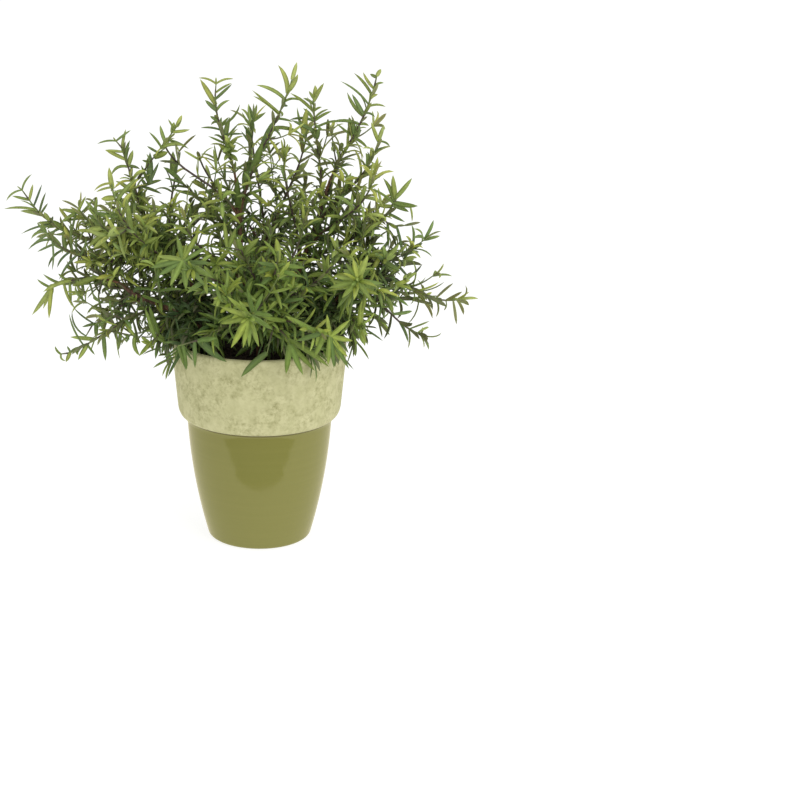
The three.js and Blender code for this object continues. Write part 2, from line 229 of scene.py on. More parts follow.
LEAF = Sizes(
    length=0.0200,
    twig_length=0.0186,
    crown_length=0.0180,
    half_width=0.00142,
    half_thickness=0.00052,
    thinnest=0.35,  # share of its thickness that is left where it is narrow
    point_taper=5,  # how sharply its thickness runs out at the point
    edge_droop=0.26,  # how far the edges roll under, as a share of the half width
    root_sunk=0.0001,  # how deep it stands in its stem
    rings=7,
    last_ring=0.975,
    shape=Sizes(widest_at=0.42, root_share=0.6, bluntness=3.2),
    tint_power=1.3,
    underside=0.75,  # how far its underside is turned to the pale colour
    tip_youth=0.22,  # how much younger it is at its point
    uneven_youth=0.14,
    tinges=(0, 1),
    shades=(0.78, 1.22),
    low_height=0.185,  # leaves hang more from here down
    low_fade=0.03,
    low_droop=0.5,
    asides=(0, 40, -40, 85, -85, 130, -130),  # turns tried until it has room
)
POSE = Sizes(
    low_pitch=58,  # degrees between a leaf and its stem, at the foot of the shoot
    tip_pitch=43,
    uneven_pitch=14,
    arch=38,  # how far it bends outward on its way to its point
    arch_power=1.4,
    uneven_arch=24,
    droop=0.18,
    droop_power=1.5,
    uneven_droop=0.16,
    root_twist=0.4,
    uneven_twist=20,
    uneven_length=0.22,
    widths=(0.78, 1.25),
)
NARROW_LEAF = Sizes(share=0.06, length=1.25, width=0.5, arch=30)
HANGING_LEAF = Sizes(share=0.08, droop=0.9)
SET_LEAF = Sizes(
    width=0.98,
    narrowest=0.0011,  # half width of the leaves that show narrow as they are seen from the side
    shape=Sizes(widest_at=0.32, root_share=0.74, bluntness=3.0),
    lean=(0.2, 0.5),  # how far it leans back or forth, as a share of its length
    calm_lean=(-0.15, 0.1),
    stem_lean=0.3,  # of that, for the side stems set with the leaves
    retreat=0.5,
    retreat_steps=5,
    tested=(0.3, 1, 8),  # first and last place along it that has to have room, and how many
    nearer=1,  # pixels that a side stem has to be nearer by to carry it
    tinges=(0.2, 0.8),
    shades=(0.88, 1.12),
    root_youth=-0.04,
    tip_youth=0.06,
)
HUGGING_LEAF = Sizes(
    spacing=0.0043,
    pitch=15,
    length=0.0120,
    lengths=(0.5, 1.05),
    width=0.9,
    arch=0.4,
    youth=0.42,
    on_shoot=(0.03, 0.94),
    on_side_stem=(0, 0.8),
)
PAIR = Sizes(
    youth_power=1.6,
    pitch_power=1.5,
    shortening=0.2,
    shortening_power=5,
    uneven_turn=13,
    uneven_place=0.0015,
    last_place=0.995,
)
AXIL_LEAF = Sizes(  # small upright leaves that lie close to the stem between the others
    share=0.75,
    twig_share=0.3,
    length=0.0120,
    lengths=(0.7, 1.3),
    pitch=16,
    turns=(60, 120),
    youth=-0.2,
)
CROWN = Sizes(golden_turn=137.5, first_place=0.955, last_place=0.998, last_length=0.72)
SHOOT_CROWN = Sizes(leaves=4, low_pitch=8, high_pitch=46, half_width=LEAF.half_width, youth=0.05)
TWIG_CROWN = Sizes(leaves=2, low_pitch=10, high_pitch=40, half_width=LEAF.half_width)
ROSETTE_CROWN = Sizes(low_pitch=12, high_pitch=60, half_width=0.0017, length=0.0120)
CLEARANCE = Sizes(above_rim=0.0015, outside=0.0012, inside=0.0015, soil=0.002)
LIMIT_SHARE = 0.024  # how far leaves may stand out of the solids' box, as a share of each side

# The woody stems: where each stands in the soil, where its wood ends, and how far it keeps
# upright before it leans.
STEMS = {
    "left_low": ((-0.026, -0.010), (-0.103, -0.012, 0.199), 0.062),
    "left_high": ((-0.028, 0.009), (-0.080, 0.014, 0.230), 0.066),
    "centre_left": ((-0.009, 0.009), (-0.017, 0.011, 0.268), 0.060),
    "centre_right": ((0.014, 0.010), (0.049, 0.014, 0.262), 0.060),
    "right": ((0.028, -0.007), (0.083, -0.008, 0.212), 0.062),
    "front": ((-0.001, -0.025), (0.001, -0.052, 0.198), 0.044),
    "back": ((0.003, 0.030), (0.006, 0.058, 0.232), 0.050),
}

# The shoots of the front and the sides: the stem that each forks from, where along that stem,
# the point that its last leaves reach, and how steeply it ends (1 straight up, 0 level).
FRONT_SHOOTS = [
    ("far_left", "left_high", 0.66, (-0.174, 0.012, 0.264), 0.62),
    ("left_upper", "left_high", 0.56, (-0.159, -0.018, 0.246), 0.6),
    ("left_tuft", "left_high", 0.82, (-0.140, -0.008, 0.256), 0.45),
    ("left_inner_tuft", "left_high", 0.74, (-0.119, -0.034, 0.268), 0.8),
    ("upper_left", "left_high", 1, (-0.103, 0.008, 0.304), 0.75),
    ("upper_left_inner", "left_high", 0.7, (-0.058, 0.034, 0.314), 0.9),
    ("front_left_light", "left_high", 0.5, (-0.103, -0.058, 0.290), 0.85),
    ("left_low", "left_low", 1, (-0.162, 0.0, 0.189), -0.3),
    ("left_lowest", "left_low", 0.6, (-0.149, -0.030, 0.147), -0.25),
    ("left_low_arc", "left_low", 0.74, (-0.134, 0.022, 0.154), -0.35),
    ("left_rim", "left_low", 0.5, (-0.086, -0.048, 0.158), -0.2),
    ("tall_left", "centre_left", 1, (-0.032, 0.005, 0.342), 0.97),
    ("tall_right", "centre_left", 0.78, (0.026, -0.005, 0.354), 0.75),
    ("tall_middle", "centre_left", 0.66, (-0.004, 0.030, 0.328), 0.95),
    ("cross_left", "centre_left", 0.6, (-0.074, 0.022, 0.284), 0.5),
    ("left_heart", "centre_left", 0.42, (-0.054, -0.032, 0.263), 0.9),
    ("third_tall", "centre_right", 0.86, (0.039, 0.020, 0.338), 0.97),
    ("middle_light", "centre_right", 0.52, (0.017, -0.017, 0.302), 0.95),
    ("right_tall", "centre_right", 1, (0.085, 0.012, 0.348), 0.8),
    ("right_second", "centre_right", 0.74, (0.087, -0.008, 0.311), 0.8),
    ("right_third", "centre_right", 0.62, (0.082, -0.042, 0.291), 0.75),
    ("right_upper", "centre_right", 0.5, (0.101, -0.014, 0.272), 0.75),
    ("right_middle", "right", 1, (0.090, -0.058, 0.238), 0.6),
    ("right_rosette", "right", 0.56, (0.067, -0.115, 0.228), 0.35),
    ("right_far", "right", 0.84, (0.158, 0.012, 0.182), 0.1),
    ("right_low", "right", 0.7, (0.128, -0.024, 0.160), -0.2),
    ("right_rim", "right", 0.45, (0.078, -0.070, 0.176), -0.1),
    ("front_rosette", "front", 0.7, (-0.008, -0.126, 0.202), 0.15),
    ("left_rosette", "front", 0.82, (-0.052, -0.106, 0.236), 0.4),
    ("right_star", "front", 0.57, (0.048, -0.108, 0.184), -0.05),
    ("front_upright", "front", 0.9, (0.013, -0.088, 0.249), 0.92),
    ("rim_right", "front", 0.46, (0.024, -0.097, 0.168), -0.4),
    ("rim_left", "front", 0.52, (-0.050, -0.080, 0.168), -0.3),
    ("front_left_pair", "front", 0.61, (-0.024, -0.092, 0.220), 0.75),
    ("front_crown", "front", 1, (-0.015, -0.062, 0.254), 0.92),
    ("right_heart", "front", 0.76, (0.033, -0.042, 0.258), 0.85),
    ("right_heart_low", "front", 0.66, (0.057, -0.072, 0.244), 0.75),
]
ROSETTES = {
    "front_rosette": Sizes(leaves=6, youth=0.55),
    "left_rosette": Sizes(leaves=5, youth=0.42),
    "right_rosette": Sizes(leaves=4, youth=0.6),
    "right_star": Sizes(leaves=3, youth=0.7),
}

# The leaves that show best, chosen over a picture of this many pixels a side: the pixels
# across and down of the root and of the point, how far the leaf bows, how wide it shows and its
# youth in tenths. Each is carried through the camera to the depth of its shoot. A row with no
# youth is a side stem, and the rows after it that start nearer to it grow from that.
PICTURE_SIDE = 800
SET_LEAVES = {
    "tall_left": [
        (215, 96, 216, 84, 0, 2.2), (216, 83, 198, 78, -2, 2.2, 8), (217, 83, 234, 79, 2, 2.2, 8),
        (216, 83, 216, 77, 0, 1.4, 8), (217, 104, 200, 79, 0, 5.4, 8), (220, 99, 232, 84, 0, 3.2, 3),
        (219, 93, 232, 83, 1, 2, 6), (218, 110, 205, 100, 0, 4.4, 3), (220, 110, 230, 100, 2, 3, 5),
        (219, 121, 210, 116, 0, 3.4, 3), (220, 122, 211, 125, -2, 2.2, 4),
        (221, 130, 200, 128, -1.5, 2.2, 3), (222, 125, 229, 117, 0, 2.2, 4),
        (222, 126, 240, 104, -4, 2.8, 3), (224, 142, 230, 117, 1, 5.5, 4),
        (226, 140, 239, 123, 0, 2, 3), (224, 134, 245, 134, 0.5, 2.2, 2),
        (220, 146, 208, 136, 0, 2.4, 4), (226, 146, 238, 136, 0, 3, 3),
    ],
    "tall_right": [
        (297, 80, 297, 62, 0, 4.6, 9), (289, 92, 298, 74, -1, 5, 8), (288, 93, 278, 65, -3, 5, 8),
        (277, 97, 256, 85, -3, 4, 7), (278, 104, 288, 106, 0, 2.8, 1), (280, 101, 301, 101, 3, 2.8, 4),
        (274, 108, 281, 117, 2, 2.2, 5), (272, 109, 252, 90, 0, 3, 6), (271, 111, 253, 96, -2, 3, 6),
        (272, 116, 293, 122, 1, 2.2, 3), (271, 127, 302, 135, 3, 4, 5), (270, 128, 281, 138, 2, 2.2, 2),
        (262, 151, 274, 120, 0, 8, 4), (252, 172, 263, 142, 0, 8, 4), (245, 190, 250, 160, 2, 7.5, 4),
        (240, 212, 238, 178, 2, 7.5, 3),
    ],
    "tall_middle": [
        (257, 120, 257, 104, 0, 3.4, 6), (257, 120, 249, 105, 0, 3.2, 3),
        (256, 127, 242, 112, 1.5, 2.8, 5), (257, 130, 252, 119, 0, 4.4, 2),
        (248, 145, 246, 127, 0, 5.5, 3), (258, 122, 266, 112, 0, 3, 6), (246, 144, 241, 131, 0, 2.2, 3),
        (255, 137, 243, 125, 0, 2.2, 3),
    ],
    "third_tall": [
        (313, 99, 315, 85, -1, 5, 8), (314, 102, 324, 83, 0.5, 4.4, 8), (313, 104, 303, 98, -1, 2.8, 6),
        (313, 93, 309, 91, 0, 3, 7), (314, 112, 290, 93, -1.5, 3.4, 6), (314, 111, 322, 107, 1, 2.2, 6),
        (315, 118, 329, 109, 1.5, 2.2, 5), (316, 121, 332, 111, 1, 3.2, 5),
        (314, 121, 289, 120, -2.5, 2.8, 2), (314, 133, 291, 120, -0.5, 3.8, 3),
        (317, 128, 336, 120, 0.5, 2.8, 3), (317, 124, 324, 131, 0, 2.2, 5),
        (316, 138, 311, 127, 0, 5.5, 3), (316, 139, 319, 128, 0, 5, 4), (318, 158, 303, 134, 0, 1.8),
        (303, 134, 307, 108, 0.5, 5.5, 9), (304, 136, 297, 107, 1, 3, 5),
    ],
    "right_tall": [
        (375, 86, 377, 75, 0, 2.2), (376, 76, 381, 69, 0, 4.4, 9), (375, 77, 370, 74, 0, 3.4, 3),
        (371, 87, 363, 72, 1, 3.2, 8), (367, 93, 354, 73, -1.5, 3.2, 5),
        (361, 102, 340, 81, -2.5, 2.2, 4), (372, 85, 384, 83, 1.5, 2.2, 4),
        (365, 97, 378, 94.5, 1, 3.2, 8), (362, 105, 386, 107, 2.5, 2.2, 6),
        (356, 112, 352, 94, 0, 4.4, 3), (355, 113, 347, 92, 2, 3.8, 5),
        (359, 111, 375, 117, 1.5, 2.2, 3), (351, 120, 369, 126, 1.5, 2.8, 5),
        (346, 132, 362, 130, 1, 3.4, 4), (344, 131, 349, 117, 0, 6.5, 4),
        (345, 131, 353, 123, 0, 4.4, 4), (346, 134, 368, 149, 1.5, 3.2, 5),
        (343, 131, 336, 123, 0, 2.2, 3), (351, 120, 329, 123, -3, 3.4, 5),
        (352, 122, 357, 139, 1.5, 2.2, 3),
    ],
    "right_second": [
        (378, 138, 384, 125, 0, 4.4, 8), (374, 141, 371, 122, 0, 4, 7), (377, 141, 390, 147, 2, 2.2, 5),
        (372, 151, 386, 147, 0.5, 2.8, 3),
    ],
    "far_left": [
        (30, 199, 22, 190, 0, 2), (22, 190, 32, 174, 2, 2, 5), (22, 190, 6, 201, -2.5, 2, 6),
        (22, 190, 17, 186, 0, 1.2, 6), (31, 199, 12, 196, 0, 3.2, 5), (31, 198, 33, 184, 0, 3.2, 8),
        (37, 204, 42, 184, 0, 2.2, 1), (41, 211, 46, 192, 0.5, 2.2, 1), (42, 212, 48, 203, 0, 2.2, 2),
        (38, 209, 2, 209, -2, 3, 5), (42, 216, 20, 211, -1, 4.4, 7), (49, 222, 44, 212, 0, 4.4, 7),
        (49, 224, 53, 216, 0, 2, 2), (48, 226, 37, 223, 0, 3.2, 5), (50, 229, 21, 234, -2, 2.2, 2),
        (64, 235, 52, 220, 0, 5.5, 4), (50, 236, 40, 221, 3, 3, 6), (46, 238, 31, 239, -2.5, 2.2, 4),
        (52, 243, 32, 245, -1.5, 2.2, 3),
    ],
    "upper_left": [
        (121, 147, 116, 141, 0, 2), (116, 141, 97, 144, -1.5, 2, 5), (116, 141, 131, 130, 0.5, 2, 4),
        (116, 141, 113, 137, 0, 1.2, 7), (122, 149, 126, 129, 0.5, 3.2, 8),
        (121, 152, 105, 150, 0, 2.8, 7), (127, 159, 105, 150, 0, 4, 8),
        (128, 160, 130, 140, 1.5, 3.6, 2), (132, 165, 133, 150, 0, 5, 8),
        (131, 166, 111, 176, -4.5, 3.2, 6), (133, 164, 140, 169, 1, 3, 2), (134, 184, 181, 121, 0, 2),
        (177, 127, 182, 115, 0, 4.4, 9), (173, 132, 190, 129.5, -0.5, 3.4, 8),
        (171, 132, 174, 122, 0, 5, 7), (171, 127, 168, 119, 0, 1.5, 6), (164, 141, 160, 125, 0.5, 4, 6),
        (161, 147, 149, 132, -1, 2.4, 4), (168, 140, 189, 149, 1.5, 2.4, 4),
        (162, 150, 184, 146, 3, 4, 7), (157, 152, 147, 146, 0, 2.4, 3), (154, 157, 168, 152, 0, 6.5, 6),
        (150, 162, 142, 160, 0, 2.2, 4), (135, 189, 151, 183, 0, 1.9), (151, 187, 150, 152, 0, 7, 2),
        (149, 184, 141, 165, 0, 3.3, 2), (149, 184, 159, 162, 0, 3.3, 2),
        (145, 185, 141, 179, -0.5, 3.5, 2), (145, 185, 162, 180, 0.5, 3.6, 3),
        (142, 187, 142, 197, -0.5, 3.3, 2), (142, 187, 162, 194, 0.5, 3.3, 2),
    ],
    "front_left_light": [
        (112, 190, 109, 167, 0.5, 5.5, 9), (109, 184, 94, 191, -2.5, 2, 8),
        (110, 187, 96, 192, -1, 1.8, 8), (117, 202, 138, 178, 2, 4.4, 6),
        (148, 245, 120, 216, 1, 7.5, 8), (137, 225, 126, 198, 0, 6, 7), (144, 243, 150, 216, 0, 4.5, 7),
        (143, 244, 158, 237, 0, 5, 6), (146, 247, 138, 262, 0, 5, 7), (114, 198, 101, 199, 0, 6, 7),
    ],
    "left_upper": [
        (46, 233, 40, 221, 0, 3, 5), (46, 232, 37, 223, 0, 2.6, 4), (45, 232, 31, 239, -3, 3, 5),
        (52, 241, 28, 250, -4, 2.6, 3), (54, 246, 37, 252, -0.5, 2.2, 3), (50, 240, 52, 271, 1.5, 2, 3),
        (57, 249, 46, 232, 0, 6, 4), (62, 254, 48, 268, -3.5, 2.8, 1), (63, 253, 63, 231, 0, 5, 3),
        (68, 257, 57, 268, -2, 2.6, 1), (74, 262, 59, 280, -2, 2.6, 2), (72, 256, 71, 219, 1, 2, 2),
        (77, 256, 76, 232, 0.5, 2.4, 2), (80, 257, 86, 237, -2, 3, 3), (90, 259, 101, 249, 0, 5, 5),
        (98, 260, 86, 244, 0, 4, 4), (84, 257, 90, 266, 0, 5, 5),
    ],
    "left_inner_tuft": [
        (94, 212, 97, 197, 0, 3.5, 5), (94, 210, 85, 200, 0, 2.6, 6), (96, 214, 120, 217, 0, 5.5, 4),
        (97, 218, 87, 206, 0, 3.5, 5), (100, 224, 88, 214, 0, 5, 4), (104, 229, 99, 214, 0, 3, 4),
        (103, 228, 85, 231, 0, 5.5, 7), (106, 232, 88, 248, -1, 5, 6), (112, 235, 121, 221, -1, 2.6, 2),
        (118, 237, 112, 222, 0, 3, 3), (120, 238, 131, 228, 0, 3.5, 3), (110, 233, 98, 246, 0, 5, 5),
    ],
    "left_tuft": [
        (74, 214, 61, 209, 0, 4, 6), (72, 214, 61, 222, 0, 3.8, 5), (80, 226, 61, 222, -1, 2.2, 3),
        (77, 214, 86, 196, 0.5, 3, 6), (79, 215, 95, 197, -1, 2.2, 4), (72, 216, 69, 243, 0, 2.2, 2),
    ],
    "left_low": [
        (46, 293, 32, 315, 0.5, 5, 8), (48, 294, 49, 319, -0.5, 4.4, 8), (46, 296, 43, 309, 0, 3.4, 8),
        (44, 292, 37, 279, 1, 2.4, 6), (63, 286, 43, 274, 1.5, 3.2, 5), (68, 281, 58, 273.5, 0, 2.4, 5),
        (50, 289, 49, 300, 0, 5.5, 8), (75, 290, 43, 292, -2, 4.6, 8), (115, 282, 88, 280, 0, 6.5, 6),
        (95, 282, 72, 286, 0, 6.5, 6), (76, 284, 84, 305, 0.5, 3.2, 4), (82, 283, 84.5, 297, 0, 3.2, 4),
        (72, 288, 71, 306, 0, 3.2, 6), (88, 283, 94, 299, 0.5, 2.2, 3), (65, 287, 76, 310, -2, 3.2, 7),
    ],
    "left_low_arc": [
        (96, 326, 73, 307, 1.5, 2, 2), (94, 328, 86, 336, 0, 2), (86, 336, 72, 310, 5, 2, 2),
        (98, 327, 82, 327, 0, 3, 3), (104, 322, 108, 305, 0, 3.2, 4), (108, 316, 95, 309, 0, 3.8, 2),
        (102, 325, 108, 338, 0, 3.4, 4), (98, 326, 96, 338, 0, 4.4, 4),
    ],
    "left_lowest": [
        (95, 339, 70, 337, 0, 4.6, 7), (84, 345, 69, 313, 2.5, 2.2, 3), (68, 353, 61, 354, 0, 2.2),
        (61, 354, 55, 346, 1, 1.8, 5), (61, 354, 66, 361, -2.5, 2.2, 7), (70, 352, 66, 362, 0, 4, 7),
        (70, 352, 67, 346, 0, 2.4, 3), (88, 343, 78, 360, 0, 4.6, 7), (76, 349, 78, 355, 0, 2.4, 5),
        (87, 345, 95, 355, 0, 1.8, 3), (104, 335, 105.5, 361, 0, 4.6, 4), (109, 331, 140, 337, 0, 3),
        (120, 336, 118, 351, 0, 4, 3), (128, 336, 127, 342, 0, 3, 3), (134, 337, 122, 320, 0, 3.8, 8),
        (135, 336, 140, 356, -3, 4.4, 7),
    ],
    "left_rim": [
        (154, 343, 139, 356, 0, 4.4, 7), (150, 343, 153, 350, 0, 3.2, 7),
        (150, 343, 141, 337, 0, 3.8, 7), (153, 341, 144, 352, 0, 3.4, 7),
        (159, 333, 153, 346, 0, 3.2, 7), (158, 335, 167, 343, 0, 4.4, 6),
        (161, 331, 146, 331, 0, 4.4, 7), (168, 317, 146, 332, 0, 5.5, 8),
        (157, 338, 172, 347, 0, 3.4, 5), (148, 344, 141, 341, 0, 3.2, 7),
        (155, 338, 145, 308, 0, 4.7, 6), (158, 334, 149, 306, 0, 5, 5),
    ],
    "rim_left": [
        (200, 340, 178, 346, 0, 3), (178, 346, 184, 366, 0.5, 4, 3), (183, 346, 187, 369, 0, 4.4, 3),
        (195, 343, 195, 368, 0, 4.4, 3), (198, 341, 217, 338, 0, 5.5, 4), (213, 332, 219, 350, 0, 5, 4),
        (211, 333, 217, 347, -1, 6, 4), (199, 341, 227, 362, -1.5, 6.5, 2),
    ],
    "front_rosette": [
        (246, 314, 221, 307, 0, 5.5, 8), (245, 318, 221, 324, 0, 5.5, 7),
        (244, 320, 231, 348, 0, 6.5, 8), (246, 320, 243, 348, 0, 5.5, 7),
        (248, 322, 249, 347, 0, 5.5, 6), (252, 322, 259, 347, 0, 5.5, 7),
        (260, 319, 282, 360, 1.5, 6.4, 4), (252, 317, 273, 330, 0, 5.5, 4),
        (253, 312, 273, 316, 0, 5.5, 4), (250, 310, 263, 293, 0, 5, 4), (246, 307, 247, 288, 0, 5, 4),
        (243, 309, 227, 296, 0, 5, 7), (247, 316, 239, 300, 0, 4.4, 6), (249, 316, 236, 333, 0, 5, 7),
    ],
    "rim_right": [
        (273, 327, 267, 353, 0, 2.8), (267, 353, 241, 377, -1, 7.1, 2), (259, 337, 235, 357, 0, 6.1, 3),
        (290, 345, 286, 374, 0, 6.5, 4), (290, 345, 303, 375, 0, 6, 5), (290, 343, 315, 371, 0, 5.5, 5),
        (288, 340, 329, 367, 2, 6, 6),
    ],
    "right_star": [
        (322, 334, 331, 337, 0, 3), (331, 335, 327, 314, 0.5, 4.6, 8), (331, 335, 350, 320, 0, 5, 8),
        (331, 338, 353, 341, 0, 5.5, 8), (331, 338, 340, 361, 0, 5.5, 7),
        (331, 338, 348, 357, -1, 5.5, 8), (330, 338, 328, 365, 0, 6, 7),
        (331, 338, 334, 368, 0, 4.4, 3), (327, 336, 317, 328, 0, 5, 6), (316, 332, 291, 317, 1, 5, 6),
        (322, 336, 296, 341, 0, 5.5, 3), (324, 337, 314, 358, 0, 5.5, 5), (331, 338, 349, 369, 0, 5, 3),
    ],
    "left_rosette": [
        (191, 268, 183, 260, 0, 3), (183, 259, 157, 256, 0, 5.5, 8), (183, 259, 177, 236, 0, 5.5, 5),
        (184, 259, 198, 233, 0, 5, 7), (185, 260, 207, 247, 0, 4.6, 4), (187, 262, 210, 263, 0, 5.5, 3),
        (186, 263, 213, 278, 0, 6.5, 4), (184, 261, 186, 290, 0, 6.5, 4), (183, 260, 170, 286, 0, 6, 6),
        (183, 260, 158, 276, 0, 6, 4), (183, 260, 150, 268, 0, 5.5, 3), (186, 263, 205, 286, 0, 5.5, 4),
        (183, 259, 187, 243, 0, 4.6, 6),
    ],
    "right_rosette": [
        (359, 279, 353, 259, 0, 5.5, 9), (360, 279, 368, 255, 0, 6.5, 8), (358, 279, 333, 276, 0, 5, 7),
        (358, 280, 329, 288, 0, 6, 5), (358, 280, 342, 298, 0, 6, 5), (358, 280, 354, 300, 0, 5.5, 8),
        (359, 280, 370, 299, 0, 5.5, 6), (359, 279, 384, 284, 0, 4.4, 4),
        (357, 280, 345, 262, 0, 4.6, 4),
    ],
    "right_upper": [
        (397, 198, 393, 175, 0.5, 5.5, 7), (397, 198, 412, 178, -0.5, 5, 7),
        (393, 202, 383, 178, -2, 4.4, 5), (396, 203, 418, 206, -1, 5.5, 4),
        (393, 206, 409, 212, 0.5, 4.6, 4), (393, 203, 363, 187, -3, 2.8, 5),
        (392, 206, 376, 204, 1, 4.4, 7), (396, 201, 410, 206, 0, 1.8), (410, 206, 412, 222, 1, 1.8, 8),
        (388, 213, 405, 222, 0, 3.2, 3), (383, 220, 412, 223, -5, 2), (396, 228, 403, 260, 1, 3, 2),
        (387, 224, 388, 249, 0.5, 3.2, 4),
    ],
    "right_middle": [
        (386, 258, 383, 245, 0, 5, 6), (386, 258, 399, 244, -1, 4.6, 7),
        (386, 259, 396, 255, 0, 5.5, 6), (380, 259, 371, 244, 1, 3.2, 3),
        (384, 262, 392, 272, 0, 3.4, 3), (384, 262, 400, 271, 0, 5.5, 2),
    ],
    "right_rim": [
        (361, 327, 365, 346, 0, 5.5, 7), (360, 326, 362, 300, 0, 6, 8),
    ],
    "front_left_pair": [
        (227, 294, 213, 305, -1, 6, 8), (227, 294, 242, 276, 0, 5.5, 7),
        (226, 293, 228, 271, 0, 4.4, 7), (226, 293, 221, 284, 0, 3.4, 6),
    ],
    "front_crown": [
        (242, 255, 259, 238, 0, 6, 7), (241, 252, 237, 238, 0, 5.5, 6), (243, 255, 257, 247, 0, 4.4, 5),
        (241, 250, 227, 247, 0, 1.8), (227, 248, 224, 221, 0, 4.6, 7), (229, 248, 236, 228, 0, 4.6, 7),
    ],
    "front_upright": [
        (279, 262, 276, 238, -1, 6.5, 8), (279, 258, 263, 240, -1, 3.6, 5),
        (277, 266, 257, 275, -1, 5.5, 4), (277, 266, 257, 262, 0.5, 5, 3),
        (277, 266, 305, 268, 0.5, 5.5, 5), (276, 270, 302, 277, 0, 5, 5),
        (275, 274, 303, 289, 0.5, 5.5, 5), (274, 277, 260, 287, -1, 5, 4),
        (273, 278, 290, 301, 0.5, 4.6, 4),
    ],
    "cross_left": [
        (174, 172, 173, 151, 0, 6.5, 5), (182, 179, 163, 167, -1, 5, 4),
        (178, 173, 181, 151, 0, 2.2, 3), (186, 182, 164, 178, -1, 2.2, 3),
        (188, 186, 168, 187, -1.5, 2.2, 3), (196, 195, 172, 189, 0, 2.8, 3),
    ],
}

# The set leaves of these shoots stay near the depth of their roots, and those of the other
# shoots lean back and forth in turn.
CALM_SHOOTS = (
    "front_rosette", "left_rosette", "right_rosette", "right_star", "rim_left", "rim_right", "left_rim",
)
# These shoots stand behind others, have fewer leaves and end early.
SPARSE_SHOOTS = ("upper_left_inner", "back_2", "back_11", "back_14")
SPARSE = Sizes(spread=1.8, end=0.86)  # how far apart their leaves are, and where they end

# The shoots behind fan out over the back by a rule, on three levels in turn.
BACK = Sizes(
    count=14,
    first_bearing=10,
    bearing_step=12.3,
    half_width=0.140,
    half_depth=0.118,
    flank=0.050,
    uneven_reach=0.12,
    uneven_height=0.016,
    uneven_fork=0.12,
    series=Sizes(reach=1, height=2, fork=9),  # of the numbers that scatter gives
)
BACK_LEVELS = [
    Sizes(height=0.188, reach=0.92, rise=0.05, fork=0.54, right="right", left="left_high"),
    Sizes(height=0.312, reach=0.5, rise=0.9, fork=0.74, right="centre_right", left="centre_left"),
    Sizes(height=0.250, reach=0.82, rise=0.6, fork=0.64, right="centre_right", left="left_high"),
]

CAMERA = Sizes(place=(0.0, -1.2, 0.485), tilt=17.55, lens=75.2, sensor=36.0, shift=0.1756)
KEY_LIGHT = Sizes(place=(0.9, -1.3, 1.5), target=(0, 0, 0.2), size=1.2, power=11)
SKY = 0.66
FLOOR = Sizes(reach=20, height=-0.0003, colour=(0.4, 0.4, 0.4), roughness=0.9, glow=0.8)
# A glowing warm sheet under and round the pot that only the glaze mirrors: a painted reflection.
WARM_REFLECTION_SHEET = Sizes(reach=3, nearest=-0.16, height=0.0006, colour=(0.98, 0.91, 0.68))
# Black sheets in front of the pot that only the glaze mirrors, a painted dark reflection, in steps
# that come nearer to it as they get narrower: how far each reaches to the sides, and where it starts.
DARK_REFLECTION_STEPS = [(1.5, -0.145), (0.13, -0.132), (0.085, -0.115)]
DARK_REFLECTION_SHEETS = Sizes(farthest=-2.5, height=0.0008, step_height=0.0002)

# Colours, as linear red, green and blue.
WHITE = (1.0, 1.0, 1.0)
BLACK = (0.0, 0.0, 0.0)
OLD_LEAF = np.array([0.074, 0.124, 0.036])
GREEN_LEAF = np.array([0.162, 0.244, 0.038])
YOUNG_LEAF = np.array([0.350, 0.420, 0.068])
UNDER_LEAF = np.array([0.230, 0.190, 0.140])
BARK_COLOUR = np.array([0.205, 0.098, 0.044])
TWIG_COLOUR = np.array([0.092, 0.062, 0.052])
GREEN_TWIG = np.array([0.190, 0.260, 0.070])

# What the colour of a leaf is multiplied by: a random blend of the first two, and a blend of the
# other two by its distance from the plant's heart, for which depth counts less. That blend is
# painted shade on the leaves near the heart and painted light on the outer ones.
BLUISH = np.array([0.89, 0.99, 1.22])
YELLOWISH = np.array([1.07, 1.01, 0.80])
INNER_SHADE = np.array([0.97, 0.97, 0.97])
OUTER_LIGHT = np.array([1.35, 1.19, 1.82])
HEART = Sizes(centre=np.array([0.0, -0.03, 0.16]), weights=(1, 0.3, 1), radius=0.06, fade=0.12)


# ---------------- lines in space


def unit(vector):
    return vector / np.linalg.norm(vector, axis=-1, keepdims=True)


def mix(start, end, share):
    return start + (end - start) * share


def clamp(value):
    return min(1, max(0, value))


def scatter(order, series):
    """A number from 0 to 1 that looks random and is the same each time."""
    return (math.sin(order * SCATTER.first + series * SCATTER.second) * SCATTER.stretch) % 1


def bent(start, pull, end, u):
    """Points of the bend from start to end that a third point pulls towards itself."""
    return start * (1 - u) ** 2 + pull * 2 * u * (1 - u) + end * u**2


def to_picture(points):
    """Where points show in the picture, in pixels across and down."""
    tilt = math.radians(CAMERA.tilt)
    away = np.asarray(points) - CAMERA.place
    forward = away @ (0, math.cos(tilt), -math.sin(tilt))
    upward = away @ (0, math.sin(tilt), math.cos(tilt))
    right = away[..., 0] / forward * CAMERA.lens / CAMERA.sensor - CAMERA.shift
    down = -upward / forward * CAMERA.lens / CAMERA.sensor
    return (np.stack([right, down], axis=-1) + 0.5) * PICTURE_SIDE


def from_picture(pixel, depth):
    """The point at this y that shows at a pixel, and how large a pixel is there."""
    tilt = math.radians(CAMERA.tilt)
    right = (pixel[0] / PICTURE_SIDE - 0.5 + CAMERA.shift) * CAMERA.sensor / CAMERA.lens
    upward = (0.5 - pixel[1] / PICTURE_SIDE) * CAMERA.sensor / CAMERA.lens
    forward = math.cos(tilt) + upward * math.sin(tilt)
    ray = np.array([right, forward, upward * math.cos(tilt) - math.sin(tilt)])
    distance = (depth - CAMERA.place[1]) / forward
    return CAMERA.place + ray * distance, distance * CAMERA.sensor / CAMERA.lens / PICTURE_SIDE


